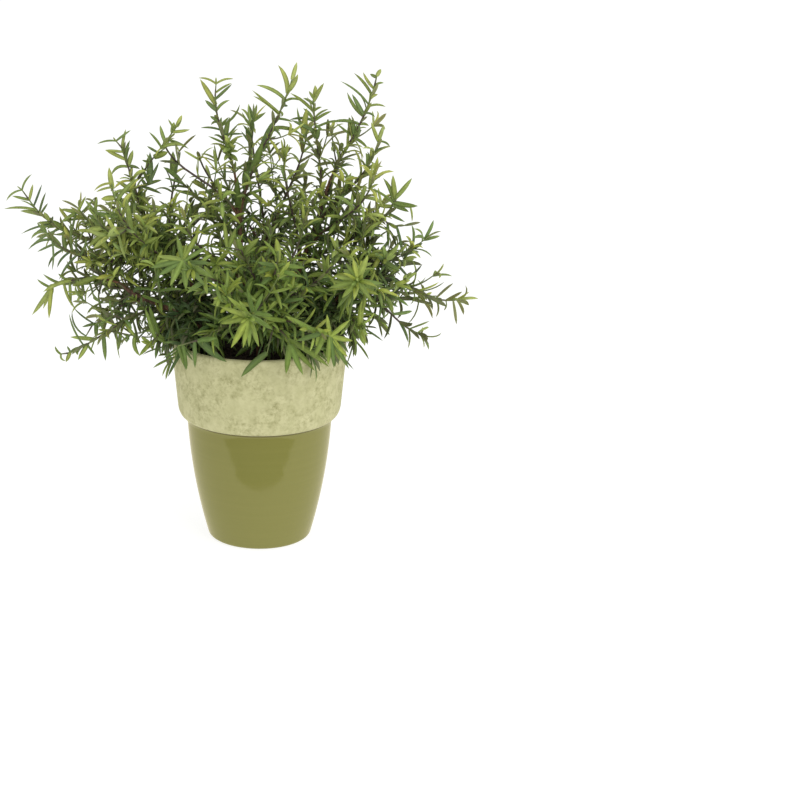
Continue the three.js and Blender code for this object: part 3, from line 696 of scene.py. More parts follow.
class Route:
    """A cubic curve, with the level direction square to its course that its sections start from."""

    upright = 0.001  # a route that goes less far sideways has no course of its own
    step = 0.001  # to each side of a place, for the direction there
    walk = np.linspace(0, 1, 40)  # places that its length is measured over
    bow = 4 / 3  # how far both middle controls move for its middle to move by one

    def __init__(self, start, first, second, end):
        self.controls = np.array([start, first, second, end], float)
        course = (self.controls[3] - self.controls[0]) * (1, 1, 0)
        if np.linalg.norm(course) < self.upright:
            course = np.array([1.0, 0.0, 0.0])
        self.side = unit(np.cross(UP, course))
        steps = np.diff(self.point(self.walk), axis=0)
        self.length = float(np.linalg.norm(steps, axis=1).sum())

    def point(self, u):
        u = np.asarray(u, float)[..., None]
        weights = ((1 - u) ** 3, 3 * u * (1 - u) ** 2, 3 * u * u * (1 - u), u**3)
        return sum(w * c for w, c in zip(weights, self.controls))

    def axes(self, u):
        """Directions along the curve and across it: along, across, out."""
        u = np.asarray(u)
        along = unit(self.point(u + self.step) - self.point(u - self.step))
        lean = (along * self.side).sum(-1, keepdims=True)
        across = unit(self.side - along * lean)
        return along, across, np.cross(along, across)


def stem_route(foot, top, upright):
    start = np.array([foot[0], foot[1], SOIL.top - SOIL.stem_depth])
    end = np.array(top)
    return Route(start, start + UP * upright, end - (end - start) * STEM.lean, end)


def shoot_route(parent, fork, tip, rise):
    start = parent.point(fork)
    way = np.array(tip) - start
    level = unit(way * (1, 1, 0))
    ending = unit(level * (1 - abs(rise)) + UP * rise)
    end = np.array(tip) - ending * SHOOT.crown
    pull = np.linalg.norm(way) * SHOOT.pull
    along, _, _ = parent.axes(fork)
    leaving = unit(unit(way) + along * SHOOT.follow)
    return Route(start, start + leaving * pull, end - ending * pull, end)


def back_shoots():
    shoots = []
    for i in range(BACK.count):
        level = BACK_LEVELS[i % len(BACK_LEVELS)]
        bearing = math.radians(BACK.first_bearing + i * BACK.bearing_step)
        far = level.reach * (1 + BACK.uneven_reach * (scatter(i, BACK.series.reach) - 0.5))
        x = BACK.half_width * math.cos(bearing) * far
        y = BACK.half_depth * math.sin(bearing) * far
        z = level.height + BACK.uneven_height * (scatter(i, BACK.series.height) - 0.5)
        stem = "back"
        if x > BACK.flank:
            stem = level.right
        if x < -BACK.flank:
            stem = level.left
        fork = level.fork + BACK.uneven_fork * (scatter(i, BACK.series.fork) - 0.5)
        shoots.append((f"back_{i + 1}", stem, fork, (x, y, z), level.rise))
    return shoots


# ---------------- growing a mesh


class Growth:
    """The points, faces and colours of one piece while it grows."""

    def __init__(self):
        self.points = []
        self.colours = []
        self.faces = []
        self.count = 0

    def skin(self, rings, start, end, colours):
        """A closed skin over rings of points, drawn in to one point at each end."""
        steps, sides, _ = rings.shape
        self.points.append(np.vstack([start, end, rings.reshape(-1, 3)]))
        ends = [colours[0].mean(0), colours[-1].mean(0)]
        self.colours.append(np.vstack([*ends, colours.reshape(-1, 3)]))
        here = self.count + 2 + np.arange(steps * sides).reshape(steps, sides)
        beside = np.roll(here, -1, axis=1)
        walls = np.stack([here[:-1], beside[:-1], beside[1:], here[1:]], -1).reshape(-1, 4)
        first = np.full(sides, self.count)
        self.faces += walls.tolist()
        self.faces += np.stack([first, beside[0], here[0]], -1).tolist()
        self.faces += np.stack([first + 1, here[-1], beside[-1]], -1).tolist()
        self.count += 2 + steps * sides

    def mesh(self, name):
        made = bpy.data.meshes.new(name)
        made.from_pydata(np.vstack(self.points).tolist(), [], self.faces)
        return made

    def tinted_mesh(self, name):
        made = self.mesh(name)
        colours = np.vstack(self.colours)
        opaque = np.hstack([colours, np.ones((len(colours), 1))])
        layer = made.color_attributes.new("tint", "FLOAT_COLOR", "POINT")
        layer.data.foreach_set("color", opaque.astype(np.float32).ravel())
        return made


def add_object(name, data):
    made = bpy.data.objects.new(name, data)
    bpy.context.scene.collection.objects.link(made)
    return made


def finish_piece(name, mesh, materials, node, sharp_angle):
    """Shows the mesh in place of a node, riding on the one body."""
    mesh.shade_smooth()
    mesh.set_sharp_from_angle(angle=math.radians(sharp_angle))
    piece = add_object(name, mesh)
    for material in materials:
        mesh.materials.append(material)
    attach(piece, "root")
    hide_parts(node)


START_CAP = 0.3  # how far a tube's ends are drawn out, as shares of its radius there
END_CAP = 0.6


def tube(growth, route, u, radii, colours):
    """A round tube along a route, closed at both ends."""
    centres = route.point(u)
    along, across, out = route.axes(u)
    angles = np.linspace(0, 2 * math.pi, radii.shape[1], endpoint=False)
    round_across = np.cos(angles)[None, :, None] * across[:, None, :]
    round_out = np.sin(angles)[None, :, None] * out[:, None, :]
    rings = centres[:, None, :] + (round_across + round_out) * radii[..., None]
    start = centres[0] - along[0] * radii[0].mean() * START_CAP
    end = centres[-1] + along[-1] * radii[-1].mean() * END_CAP
    growth.skin(rings, start, end, np.broadcast_to(colours, rings.shape))


# ---------------- leaves

# The six points of a leaf's section: edge, half, groove, half and edge on top, and the middle of
# its underside. How far each lies across and up, how much it droops and how bright it is: the
# groove paler, partly its midrib and partly a painted highlight, and the edges darker as painted shade.
LEAF_ACROSS = np.array([1.0, 0.5, 0.0, -0.5, -1.0, 0.0])
LEAF_THICK = np.array([0.0, 1.0, 0.5, 1.0, 0.0, -1.0])
LEAF_DROOP = np.array([1.0, 0.22, 0.0, 0.22, 1.0, 0.0])
LEAF_MIDRIB_SHEEN_AND_SHADE = np.array([0.89, 0.99, 1.24, 0.99, 0.89, 1.0])
LEAF_UNDERSIDE = 5

BOX = np.array(CAD_BOX)
LOWEST = BOX[0] - (BOX[1] - BOX[0]) * LIMIT_SHARE
HIGHEST = BOX[1] + (BOX[1] - BOX[0]) * LIMIT_SHARE


def has_room(points):
    """Whether a leaf or twig stays out of the pot and the soil, and in the solids' box."""
    if (points < LOWEST).any() or (points > HIGHEST).any():
        return False
    away = np.hypot(points[:, 0], points[:, 1])
    outside = POT.rim_radius + CLEARANCE.outside
    inside = POT.rim_radius - POT.wall - CLEARANCE.inside
    low = points[:, 2] < POT.height + CLEARANCE.above_rim
    in_wall = low & (away < outside) & (away > inside)
    in_soil = (points[:, 2] < SOIL.top + CLEARANCE.soil) & (away < POT.rim_radius)
    return not (in_wall | in_soil).any()


LEAF_PLACES = np.linspace(0, LEAF.last_ring, LEAF.rings)


def leaf_profile(shape):
    """Half widths and thicknesses from root to point, as shares of the largest."""
    s = LEAF_PLACES
    before = 1 - (1 - shape.root_share) * (1 - s / shape.widest_at) ** 2
    after = 1 - np.clip((s - shape.widest_at) / (1 - shape.widest_at), 0, 1) ** shape.bluntness
    widths = np.where(s < shape.widest_at, before, after)
    thicknesses = LEAF.thinnest + (1 - LEAF.thinnest) * widths
    thicknesses = thicknesses * np.clip((1 - s) * LEAF.point_taper, 0, 1)
    return widths[:, None, None], thicknesses[:, None, None]


GROWN_PROFILE = leaf_profile(LEAF.shape)
SET_PROFILE = leaf_profile(SET_LEAF.shape)


def leaf_lines(root, along, aside, pose):
    """The leaf's centre line, with the directions along it and across its face."""
    s = np.append(LEAF_PLACES, 1.0)
    angles = pose.pitch + pose.arch * s**POSE.arch_power
    way = np.cos(angles)[:, None] * along + np.sin(angles)[:, None] * aside
    way[:, 2] -= pose.droop * s**POSE.droop_power
    way = unit(way)
    steps = (way[1:] + way[:-1]) / 2 * np.diff(s)[:, None] * pose.length
    centres = root + np.vstack([np.zeros(3), np.cumsum(steps, axis=0)])
    flat = np.cross(along, aside)
    twist = pose.twist * (POSE.root_twist + (1 - POSE.root_twist) * s)[:, None]
    wide = flat * np.cos(twist) + np.cross(way, flat) * np.sin(twist)
    wide = unit(wide - way * (wide * way).sum(-1, keepdims=True))
    return centres, way, wide


def blade(growth, centres, way, wide, profile, half_width, colours):
    """The skin of a leaf along its centre line: a thin blade with a groove along its middle."""
    up = np.cross(way, wide)
    root = centres[0] - way[0] * LEAF.root_sunk
    centres, point = centres[:-1], centres[-1]
    half = profile[0] * half_width
    thick = profile[1] * LEAF.half_thickness
    sideways = wide[:-1, None, :] * LEAF_ACROSS[None, :, None] * half
    lift = LEAF_THICK[None, :, None] * thick
    lift = lift - LEAF_DROOP[None, :, None] * half * LEAF.edge_droop
    rings = centres[:, None, :] + sideways + up[:-1, None, :] * lift
    shares = (LEAF_PLACES**LEAF.tint_power)[:, None, None]
    # The paler groove is partly the midrib and partly a painted highlight; the darker edges are painted
    # shade.
    colours = mix(*colours, shares) * LEAF_MIDRIB_SHEEN_AND_SHADE[None, :, None]
    colours[:, LEAF_UNDERSIDE] = mix(colours[:, LEAF_UNDERSIDE], UNDER_LEAF, LEAF.underside)
    growth.skin(rings, root, point, colours)


def leaf_colour(youth):
    """From the dark green of old leaves through green to the yellow-green of young ones."""
    youth = clamp(youth)
    if youth < 0.5:
        return mix(OLD_LEAF, GREEN_LEAF, youth * 2)
    return mix(GREEN_LEAF, YOUNG_LEAF, youth * 2 - 1)


def leaf_tinge(root, blends, shades, rng):
    """What a leaf's colour is multiplied by: a leaf far from the plant's heart is paler, as painted
    light.
    """
    away = np.linalg.norm((root - HEART.centre) * HEART.weights)
    # Painted light and shade: the outer leaves paler, those near the heart a little darker.
    outer = mix(INNER_SHADE, OUTER_LIGHT, clamp((away - HEART.radius) / HEART.fade))
    return mix(BLUISH, YELLOWISH, rng.uniform(*blends)) * rng.uniform(*shades) * outer


def place_leaf(growth, route, u, turn, pose, youth, rng):
    """A leaf at a place on a stem, turned aside where it has no room."""
    along, across, out = route.axes(u)
    root = route.point(u)
    pose.droop += LEAF.low_droop * clamp((LEAF.low_height - root[2]) / LEAF.low_fade)
    tinge = leaf_tinge(root, LEAF.tinges, LEAF.shades, rng)
    colour = leaf_colour(youth + rng.normal(0, LEAF.uneven_youth)) * tinge
    tip_colour = leaf_colour(youth + LEAF.tip_youth) * tinge
    for aside_turn in LEAF.asides:
        angle = math.radians(turn + aside_turn)
        aside = across * math.cos(angle) + out * math.sin(angle)
        centres, way, wide = leaf_lines(root, along, aside, pose)
        if has_room(centres[2:]):
            colours = (colour, tip_colour)
            blade(growth, centres, way, wide, GROWN_PROFILE, pose.half_width, colours)
            return


def leaf_pose(rng, pitch, length, half_width):
    """How one leaf stands, bends and turns, and its size, all drawn round what is usual."""
    pose = Sizes(
        pitch=math.radians(pitch + rng.normal(0, POSE.uneven_pitch)),
        arch=math.radians(rng.normal(POSE.arch, POSE.uneven_arch)),
        droop=max(0, rng.normal(POSE.droop, POSE.uneven_droop)),
        twist=math.radians(rng.normal(0, POSE.uneven_twist)),
        length=length * (1 + POSE.uneven_length * rng.uniform(-1, 1)),
        half_width=half_width * rng.uniform(*POSE.widths),
    )
    if rng.uniform() < NARROW_LEAF.share:
        pose.length *= NARROW_LEAF.length
        pose.half_width *= NARROW_LEAF.width
        pose.arch += math.radians(NARROW_LEAF.arch)
    if rng.uniform() < HANGING_LEAF.share:
        pose.droop += HANGING_LEAF.droop
    return pose


def hug(growth, route, rng, span):
    """Short leaves that lie close to a stem over a span of it and hide its bark."""
    start, end = span
    count = round(route.length * (end - start) / HUGGING_LEAF.spacing)
    for i in range(count):
        u = mix(start, end, (i + rng.uniform()) / count)
        length = HUGGING_LEAF.length * rng.uniform(*HUGGING_LEAF.lengths)
        half_width = LEAF.half_width * HUGGING_LEAF.width
        pose = leaf_pose(rng, HUGGING_LEAF.pitch, length, half_width)
        pose.arch *= HUGGING_LEAF.arch
        place_leaf(growth, route, u, rng.uniform(0, 360), pose, HUGGING_LEAF.youth, rng)


def dress(growth, route, rng, plan):
    """Leaves along a stem in opposite pairs, each pair square to the one before."""
    pairs = max(2, round(route.length * (plan.until - plan.bare) / plan.spacing))
    first_turn = rng.uniform(0, 360)
    for pair in range(pairs):
        share = pair / (pairs - 1)
        youth = mix(*plan.youths, share**PAIR.youth_power)
        pitch = mix(POSE.low_pitch, POSE.tip_pitch, share**PAIR.pitch_power)
        length = plan.length * (1 - PAIR.shortening * share**PAIR.shortening_power)
        turn = first_turn + 90 * pair + rng.normal(0, PAIR.uneven_turn)
        for opposite in (0, 180):
            u = mix(plan.bare, plan.until, share) + rng.normal(0, PAIR.uneven_place)
            u = min(PAIR.last_place, u)
            pose = leaf_pose(rng, pitch, length, LEAF.half_width)
            pose.droop += plan.droop
            place_leaf(growth, route, u, turn + opposite, pose, youth, rng)
        if rng.uniform() < plan.axil_share:
            length = AXIL_LEAF.length * rng.uniform(*AXIL_LEAF.lengths)
            pose = leaf_pose(rng, AXIL_LEAF.pitch, length, LEAF.half_width)
            turn += rng.uniform(*AXIL_LEAF.turns)
            place_leaf(growth, route, u, turn, pose, youth + AXIL_LEAF.youth, rng)


def crown(growth, route, rng, kind, length, youth):
    """The last leaves of a stem, closing round its end."""
    first_turn = rng.uniform(0, 360)
    for i in range(kind.leaves):
        share = i / max(1, kind.leaves - 1)
        pitch = mix(kind.high_pitch, kind.low_pitch, share)
        pose = leaf_pose(rng, pitch, length, kind.half_width)
        pose.length *= mix(1, CROWN.last_length, share)
        u = mix(CROWN.first_place, CROWN.last_place, share)
        place_leaf(growth, route, u, first_turn + i * CROWN.golden_turn, pose, youth, rng)


# ---------------- leaves set one by one

PLACES = np.linspace(0, 1, 101)


def nearest_place(route, pixel):
    """How far along a route the place is that shows nearest to a pixel, and how far off it is."""
    off = np.linalg.norm(to_picture(route.point(PLACES)) - pixel, axis=1)
    return PLACES[off.argmin()], off.min()


def set_leaf(growth, root, tip, bow, shown, youth, rng):
    """One leaf of the table, turned about its length so that it shows as wide as it should."""
    course = tip - root
    side = unit(np.array([-course[2], 0, course[0]]))
    pull = (root + tip) / 2 + side * bow * 2
    centres = bent(root, pull, tip, np.append(LEAF_PLACES, 1.0)[:, None])
    way = unit(np.gradient(centres, axis=0))
    half_width = max(shown, SET_LEAF.narrowest)
    twist = math.acos(shown / half_width) * rng.choice((-1, 1))
    flat = unit(np.cross(way, DEPTH))
    wide = flat * math.cos(twist) + np.cross(way, flat) * math.sin(twist)
    tinge = leaf_tinge(root, SET_LEAF.tinges, SET_LEAF.shades, rng)
    youths = (youth + SET_LEAF.root_youth, youth + SET_LEAF.tip_youth)
    colours = [leaf_colour(each) * tinge for each in youths]
    blade(growth, centres, way, wide, SET_PROFILE, half_width, colours)


def set_tip(pixel, root, lean):
    """The point that shows at a pixel, leaning back by a share of its length, or less far where
    that leaves it no room, and how large a pixel is there."""
    length = np.linalg.norm(from_picture(pixel, root[1])[0] - root)
    for share in np.linspace(lean, lean - SET_LEAF.retreat, SET_LEAF.retreat_steps):
        tip, pixel_size = from_picture(pixel, root[1] + length * share)
        tip[0] = max(tip[0], LOWEST[0] + LEAF.half_width)
        if has_room(mix(root, tip, np.linspace(*SET_LEAF.tested)[:, None])):
            break
    return tip, pixel_size


def set_stem(growth, root, tip, bow, rng):
    """A side stem of the table, with leaves that hug it where it is long enough."""
    side = unit(np.array([root[2] - tip[2], 0, tip[0] - root[0]])) * bow * Route.bow
    route = Route(root, mix(root, tip, 1 / 3) + side, mix(root, tip, 2 / 3) + side, tip)
    twig_tube(growth, route)
    if route.length > LEAF.length:
        hug(growth, route, rng, HUGGING_LEAF.on_side_stem)
    return route


def set_leaves(growth, route, name, rng):
    """A shoot's leaves from the table, with the side stems that carry some of them. It gives the
    lowest place along the shoot that has one."""
    calm = name in CALM_SHOOTS
    lowest = 1
    side_stem = None
    for count, row in enumerate(SET_LEAVES[name]):
        across, down, tip_across, tip_down, bow, width, *youth = row
        place, off = nearest_place(route, (across, down))
        root = route.point(place)
        twig_place, twig_off = nearest_place(side_stem, (across, down)) if side_stem else (0, off)
        lean = mix(*(SET_LEAF.calm_lean if calm else SET_LEAF.lean), scatter(count, len(name)))
        lean *= 1 if calm or count % 2 == 0 else -1
        if youth and twig_off < off - SET_LEAF.nearer:
            root = side_stem.point(twig_place)
        else:
            lowest = min(lowest, place)
        if youth:
            tip, size = set_tip((tip_across, tip_down), root, lean)
            shown = width * size / 2 * SET_LEAF.width
            set_leaf(growth, root, tip, bow * size, shown, youth[0] / 10, rng)
        else:
            tip, size = set_tip((tip_across, tip_down), root, lean * SET_LEAF.stem_lean)
            side_stem = set_stem(growth, root, tip, bow * size, rng)
    return lowest


# ---------------- twigs and shoots


def twig_tube(growth, route):
    """The stem of a twig, thinner and greener towards its end."""
    steps = np.linspace(0, 1, TWIG.rings)
    radii = np.repeat(mix(TWIG.radius, TWIG.tip_radius, steps)[:, None], TWIG.sides, axis=1)
    colour = mix(TWIG_COLOUR, GREEN_TWIG, (steps**SHOOT.greening)[:, None, None])
    tube(growth, route, steps, radii, colour)


def twig_route(route, u, length, rng):
    """A short side twig that turns up as it grows, or None where it has no room."""
    along, across, out = route.axes(u)
    start = route.point(u)
    lowness = clamp((TWIG.drooping_below - start[2]) / TWIG.drooping_fade)
    lift = UP * length * TWIG.lift * (1 - TWIG.drooping_lift * lowness)
    for _ in range(TWIG.tries):
        turn = math.radians(rng.uniform(0, 360))
        pitch = rng.uniform(TWIG.low_pitch, TWIG.high_pitch) + TWIG.drooping_pitch * lowness
        pitch = math.radians(pitch)
        aside = across * math.cos(turn) + out * math.sin(turn)
        way = along * math.cos(pitch) + aside * math.sin(pitch)
        end = start + way * length + lift
        first, middle = (start + way * length * share for share in TWIG.bends)
        beyond = end + unit(end - middle) * LEAF.crown_length * TWIG.beyond
        if has_room(np.array([middle, end, beyond])):
            return Route(start, first, middle, end)
    return None


def mouth_twig(parent, rng):
    """A twig that arches from a woody stem over the pot's mouth, some of them past its rim."""
    start = parent.point(rng.uniform(MOUTH.stem_foot, MOUTH.stem_top))
    bearing = math.atan2(start[1], start[0]) + math.radians(MOUTH.spread * rng.uniform(-1, 1))
    away = rng.uniform(MOUTH.nearest, MOUTH.farthest)
    if MOUTH.gap_start < math.degrees(bearing) < MOUTH.gap_end:
        return None
    height = POT.height + rng.uniform(MOUTH.lowest, MOUTH.highest)
    end = np.array([away * math.cos(bearing), away * math.sin(bearing), height])
    peak = max(start[2], height) + MOUTH.arch * rng.uniform(*MOUTH.arches)
    first, second = (mix(start, end, share) for share in MOUTH.bends)
    first[2] = second[2] = peak
    return Route(start, first, second, end)


def twigs_of(route, parent, siblings, spread, rng):
    """A shoot's side twigs and its share of the woody stem's.

    Each comes with its route, its place on the shoot and whether it lies over the pot's mouth.
    """
    last = 1 - TWIG.free_end * spread / route.length
    reach = np.hypot(*route.point(1)[:2])
    outward = clamp((reach - TWIG.inner_reach) / (TWIG.outer_reach - TWIG.inner_reach))
    spacing = mix(TWIG.inner_spacing, TWIG.outer_spacing, outward) * spread
    count = max(1, round(route.length * (last - TWIG.first) / spacing))
    for i in range(count):
        share = (i + rng.uniform(*TWIG.uneven_places)) / count
        u = mix(TWIG.first, last, share)
        length = rng.uniform(TWIG.shortest, TWIG.longest) * mix(1, TWIG.last_share, share)
        yield twig_route(route, u, length, rng), u, False
    stem_reach = np.hypot(*parent.point(1)[:2])
    leaning = clamp((stem_reach - TWIG.leaning_reach) / TWIG.leaning_reach)
    stem_top = mix(TWIG.stem_top, TWIG.leaning_stem_top, leaning)
    for _ in range(round(TWIG.on_stem * (1 + leaning) / siblings)):
        u = rng.uniform(TWIG.stem_foot, stem_top)
        length = rng.uniform(TWIG.shortest, TWIG.longest)
        if parent.point(u)[2] > POT.height - TWIG.under_rim:
            yield twig_route(parent, u, length, rng), 0.0, False
    for _ in range(max(1, round(MOUTH.twigs / siblings))):
        yield mouth_twig(parent, rng), 0.0, True


def dress_twig(growth, route, youth, over_mouth, rng):
    """A side twig and its leaves: closer and shorter on a tuft, hanging over the pot's mouth."""
    twig_tube(growth, route)
    closeness = rng.uniform(*TWIG.closeness)
    if route.length < TWIG.longest_tuft and rng.uniform() < TWIG.tufts:
        closeness = TWIG.tuft_closeness
    plan = Sizes(
        bare=TWIG.bare,
        until=SHOOT.until,
        spacing=TWIG.pair_spacing * closeness,
        length=LEAF.twig_length * closeness,
        youths=(youth + TWIG.foot_youth, youth + TWIG.end_youth),
        droop=0.0,
        axil_share=AXIL_LEAF.twig_share,
    )
    if over_mouth:
        plan.spacing = MOUTH.pair_spacing
        plan.length = MOUTH.leaf_length
        plan.youths = (youth + MOUTH.foot_youth, youth + MOUTH.end_youth)
        plan.droop = MOUTH.leaf_droop
    dress(growth, route, rng, plan)
    crown(growth, route, rng, TWIG_CROWN, plan.length, plan.youths[1])


def shoot_tube(growth, route, end, rng):
    """The stem of a shoot, uneven, woody at its foot and green towards its end."""
    rings = max(SHOOT.fewest_rings, round(route.length / SHOOT.step))
    u = np.linspace(0, end, rings)
    bumps = 1 + SHOOT.unevenness * rng.uniform(-1, 1, (rings, SHOOT.sides))
    radii = mix(SHOOT.foot_radius, SHOOT.tip_radius, u)[:, None] * bumps
    column = u[:, None, None]
    woody = mix(BARK_COLOUR, TWIG_COLOUR, np.clip(column * SHOOT.woody_fade, 0, 1))
    green = np.clip((column - SHOOT.green_from) / (1 - SHOOT.green_from), 0, 1)
    tube(growth, route, u, radii, mix(woody, GREEN_TWIG, green**SHOOT.greening))


def dress_shoot(growth, route, name, youths, spread, rng):
    """A shoot's own leaves: those set one by one or a crown, then pairs, and a rosette's last."""
    plan = Sizes(
        bare=SHOOT.bare,
        until=SHOOT.until,
        spacing=SHOOT.pair_spacing * spread,
        length=LEAF.length,
        youths=youths,
        droop=0.0,
        axil_share=AXIL_LEAF.share,
    )
    if name in SET_LEAVES:
        plan.until = set_leaves(growth, route, name, rng) - SHOOT.set_gap
        plan.spacing *= SHOOT.set_closeness
        hug(growth, route, rng, HUGGING_LEAF.on_shoot)
    elif name in SPARSE_SHOOTS:
        plan.until = SPARSE.end
    else:
        crown(growth, route, rng, SHOOT_CROWN, LEAF.crown_length, youths[1] + SHOOT_CROWN.youth)
    if plan.until > plan.bare + SHOOT.shortest_dress:
        dress(growth, route, rng, plan)
    if name in ROSETTES:
        rosette = ROSETTES[name]
        kind = Sizes(leaves=rosette.leaves, **vars(ROSETTE_CROWN))
        crown(growth, route, rng, kind, kind.length, rosette.youth)


def make_shoot(order, shoot, stems, siblings, material):
    """One leafy shoot with its side twigs, as one piece."""
    name, stem, fork, tip, rise = shoot
    rng = np.random.default_rng([SEED, order])
    growth = Growth()
    route = shoot_route(stems[stem], fork, tip, rise)
    sparse = name in SPARSE_SHOOTS
    spread = SPARSE.spread if sparse else 1
    shoot_tube(growth, route, SPARSE.end if sparse else 1, rng)
    gain = clamp((tip[2] - YOUTH.low) / YOUTH.rise)
    foot = YOUTH.foot + YOUTH.foot_gain * gain + YOUTH.foot_unevenness * rng.uniform(-1, 1)
    end = YOUTH.end + YOUTH.end_gain * gain + YOUTH.end_unevenness * rng.uniform(-1, 1)
    dress_shoot(growth, route, name, (foot, end), spread, rng)
    for twig, place, over_mouth in twigs_of(route, stems[stem], siblings, spread, rng):
        if twig is not None:
            dress_twig(growth, twig, mix(foot, end, place), over_mouth, rng)
    node = f"shoot_{name}"
    mesh = growth.tinted_mesh(node)
    finish_piece(f"leafy_{node}", mesh, [material], node, SHOOT.sharp_angle)


def make_stem(order, name, route, material):
    """A woody stem with rough bark and slight knots."""
    rng = np.random.default_rng([SEED, STEM_SEED + order])
    rings = round(route.length / STEM.step)
    u = np.linspace(0, 1, rings)
    waves = rng.normal(0, 1, (rings, STEM.sides))
    smooth = (waves + np.roll(waves, 1, 0) + np.roll(waves, -1, 0) + np.roll(waves, 1, 1)) / 4
    ribs = STEM.ribs * np.sin(np.arange(STEM.sides) * STEM.rib_turn + order)[None, :]
    swells = np.sin(u * route.length / STEM.knot_wave + order)
    knots = STEM.knots * np.clip(swells - STEM.knot_level, 0, 1)[:, None]
    taper = mix(STEM.foot_radius, STEM.top_radius, u)[:, None]
    radii = taper * (1 + STEM.roughness * smooth + ribs + knots)
    fade = np.clip(u * STEM.fade - (STEM.fade - 1), 0, 1)[:, None]
    colour = mix(BARK_COLOUR, mix(BARK_COLOUR, TWIG_COLOUR, STEM.top_shade), fade)
    shade = 1 + STEM.uneven_shade * smooth[..., None]
    growth = Growth()
    tube(growth, route, u, radii, colour[:, None, :] * shade)
    node = f"stem_{name}"
    mesh = growth.tinted_mesh(node)
    finish_piece(f"woody_{node}", mesh, [material], node, STEM.sharp_angle)


# ---------------- pot and soil


def bend(start, pull, end, steps):
    """Points of a bend from start to end, pulled towards a third point, without its first."""
    u = np.linspace(0, 1, steps + 1)[1:, None]
    return bent(np.array(start), np.array(pull), np.array(end), u).tolist()


def run(start, end, steps):
    """Points of a straight run, without its first."""
    u = np.linspace(0, 1, steps + 1)[1:, None]
    return mix(np.array(start), np.array(end), u).tolist()


def hollow(gap):
    """Radius and height of the corners of the pot's hollow, or of what fills it up to a gap."""
    wall = POT.wall
    return Sizes(
        collar=(POT.collar_radius - wall - gap, POT.collar_corner),
        neck=(POT.neck_radius - wall - gap, POT.neck_height),
        belly=(POT.belly_radius - wall - gap, POT.belly_height),
        heel=(POT.heel_radius - wall - gap, POT.floor + POT.heel_height + gap),
        floor=(POT.foot_radius - 2 * wall - gap, POT.floor + gap),
        middle=(0.0, POT.floor + gap),
    )


def pot_outline():
    """Radius and height round the pot's section, from the middle of the base to the inner floor."""
    inner = hollow(0.0)
    foot = (POT.foot_radius, 0.0)
    heel = (POT.heel_radius, POT.heel_height)
    belly = (POT.belly_radius, POT.belly_height)
    neck = (POT.neck_radius, POT.neck_height)
    ledge = (POT.ledge_radius, POT.ledge_height)
    collar = (POT.collar_radius, POT.collar_corner)
    collar_pull = (POT.collar_radius - POT.softness, POT.ledge_height + POT.softness)
    shoulder = (POT.rim_radius, POT.rim_straight)
    lip_outside = (POT.rim_radius, POT.height - POT.lip)
    lip_top = (POT.rim_radius - POT.wall / 2, POT.height)
    inner_rim = POT.rim_radius - POT.wall
    lip_inside = (inner_rim, POT.height - POT.lip)
    return [
        (0.0, 0.0),
        *run((0.0, 0.0), foot, steps=4),
        *bend(foot, (POT.heel_radius - POT.softness, 0.0), heel, steps=8),
        *bend(heel, belly, neck, steps=40),
        *run(neck, ledge, steps=3),
        *bend(ledge, collar_pull, collar, steps=14),
        *run(collar, shoulder, steps=14),
        *run(shoulder, lip_outside, steps=5),
        *bend(lip_outside, (POT.rim_radius, POT.height), lip_top, steps=8),
        *bend(lip_top, (inner_rim, POT.height), lip_inside, steps=8),
        *run(lip_inside, inner.collar, steps=8),
        *run(inner.collar, inner.neck, steps=4),
        *bend(inner.neck, inner.belly, inner.heel, steps=8),
        *run(inner.heel, inner.floor, steps=2),
        inner.middle,
    ]


def revolve(outline, segments, tint):
    """A closed skin over an outline turned round the Z axis; both its ends lie on the axis."""
    rings = np.array(outline[1:-1])
    angles = np.linspace(0, 2 * math.pi, segments, endpoint=False)
    x = rings[:, :1] * np.cos(angles)
    y = rings[:, :1] * np.sin(angles)
    z = np.repeat(rings[:, 1:], segments, axis=1)
    points = np.stack([x, y, z], -1)
    growth = Growth()
    growth.skin(points, UP * outline[0][1], UP * outline[-1][1], np.full(points.shape, tint))
    return growth


def make_pot(glaze, collar):
    """The fired pot, glazed up to the ledge where its mottled collar starts."""
    mesh = revolve(pot_outline(), POT.segments, 0.0).mesh("pot")
    finish_piece("fired_pot", mesh, [glaze, collar], "pot", POT.sharp_angle)
    for face in mesh.polygons:
        face.material_index = 1 if face.center.z > POT.ledge_height else 0


def soil_edge():
    """Radius of the soil at its top, inside the pot's collar."""
    share = (SOIL.top - POT.collar_corner) / (POT.height - POT.lip - POT.collar_corner)
    return mix(POT.collar_radius, POT.rim_radius, share) - POT.wall - SOIL.gap


def soil_outline():
    """Radius and height round the soil's section, from the middle of its bottom to its top's."""
    outer = hollow(SOIL.gap)
    return [
        outer.middle,
        outer.floor,
        outer.heel,
        *bend(outer.heel, outer.belly, outer.neck, steps=6),
        outer.collar,
        *run((soil_edge(), SOIL.top), (0.0, SOIL.top), steps=SOIL.rings),
    ]


def soil_waves(spots, rng):
    """How far the rough surface rises at each spot: waves, large ones and finer and finer ones."""
    rises = np.zeros(len(spots))
    for octave in range(SOIL.octaves):
        size = SOIL.wave / SOIL.finer**octave
        for turn in rng.uniform(0, NEARLY_TURN, SOIL.directions):
            course = spots[:, 0] * math.cos(turn) + spots[:, 1] * math.sin(turn)
            wave = np.sin(course / size * NEARLY_TURN + rng.uniform(0, NEARLY_TURN))
            rises += wave * SOIL.wave_height / SOIL.lower**octave
    return rises


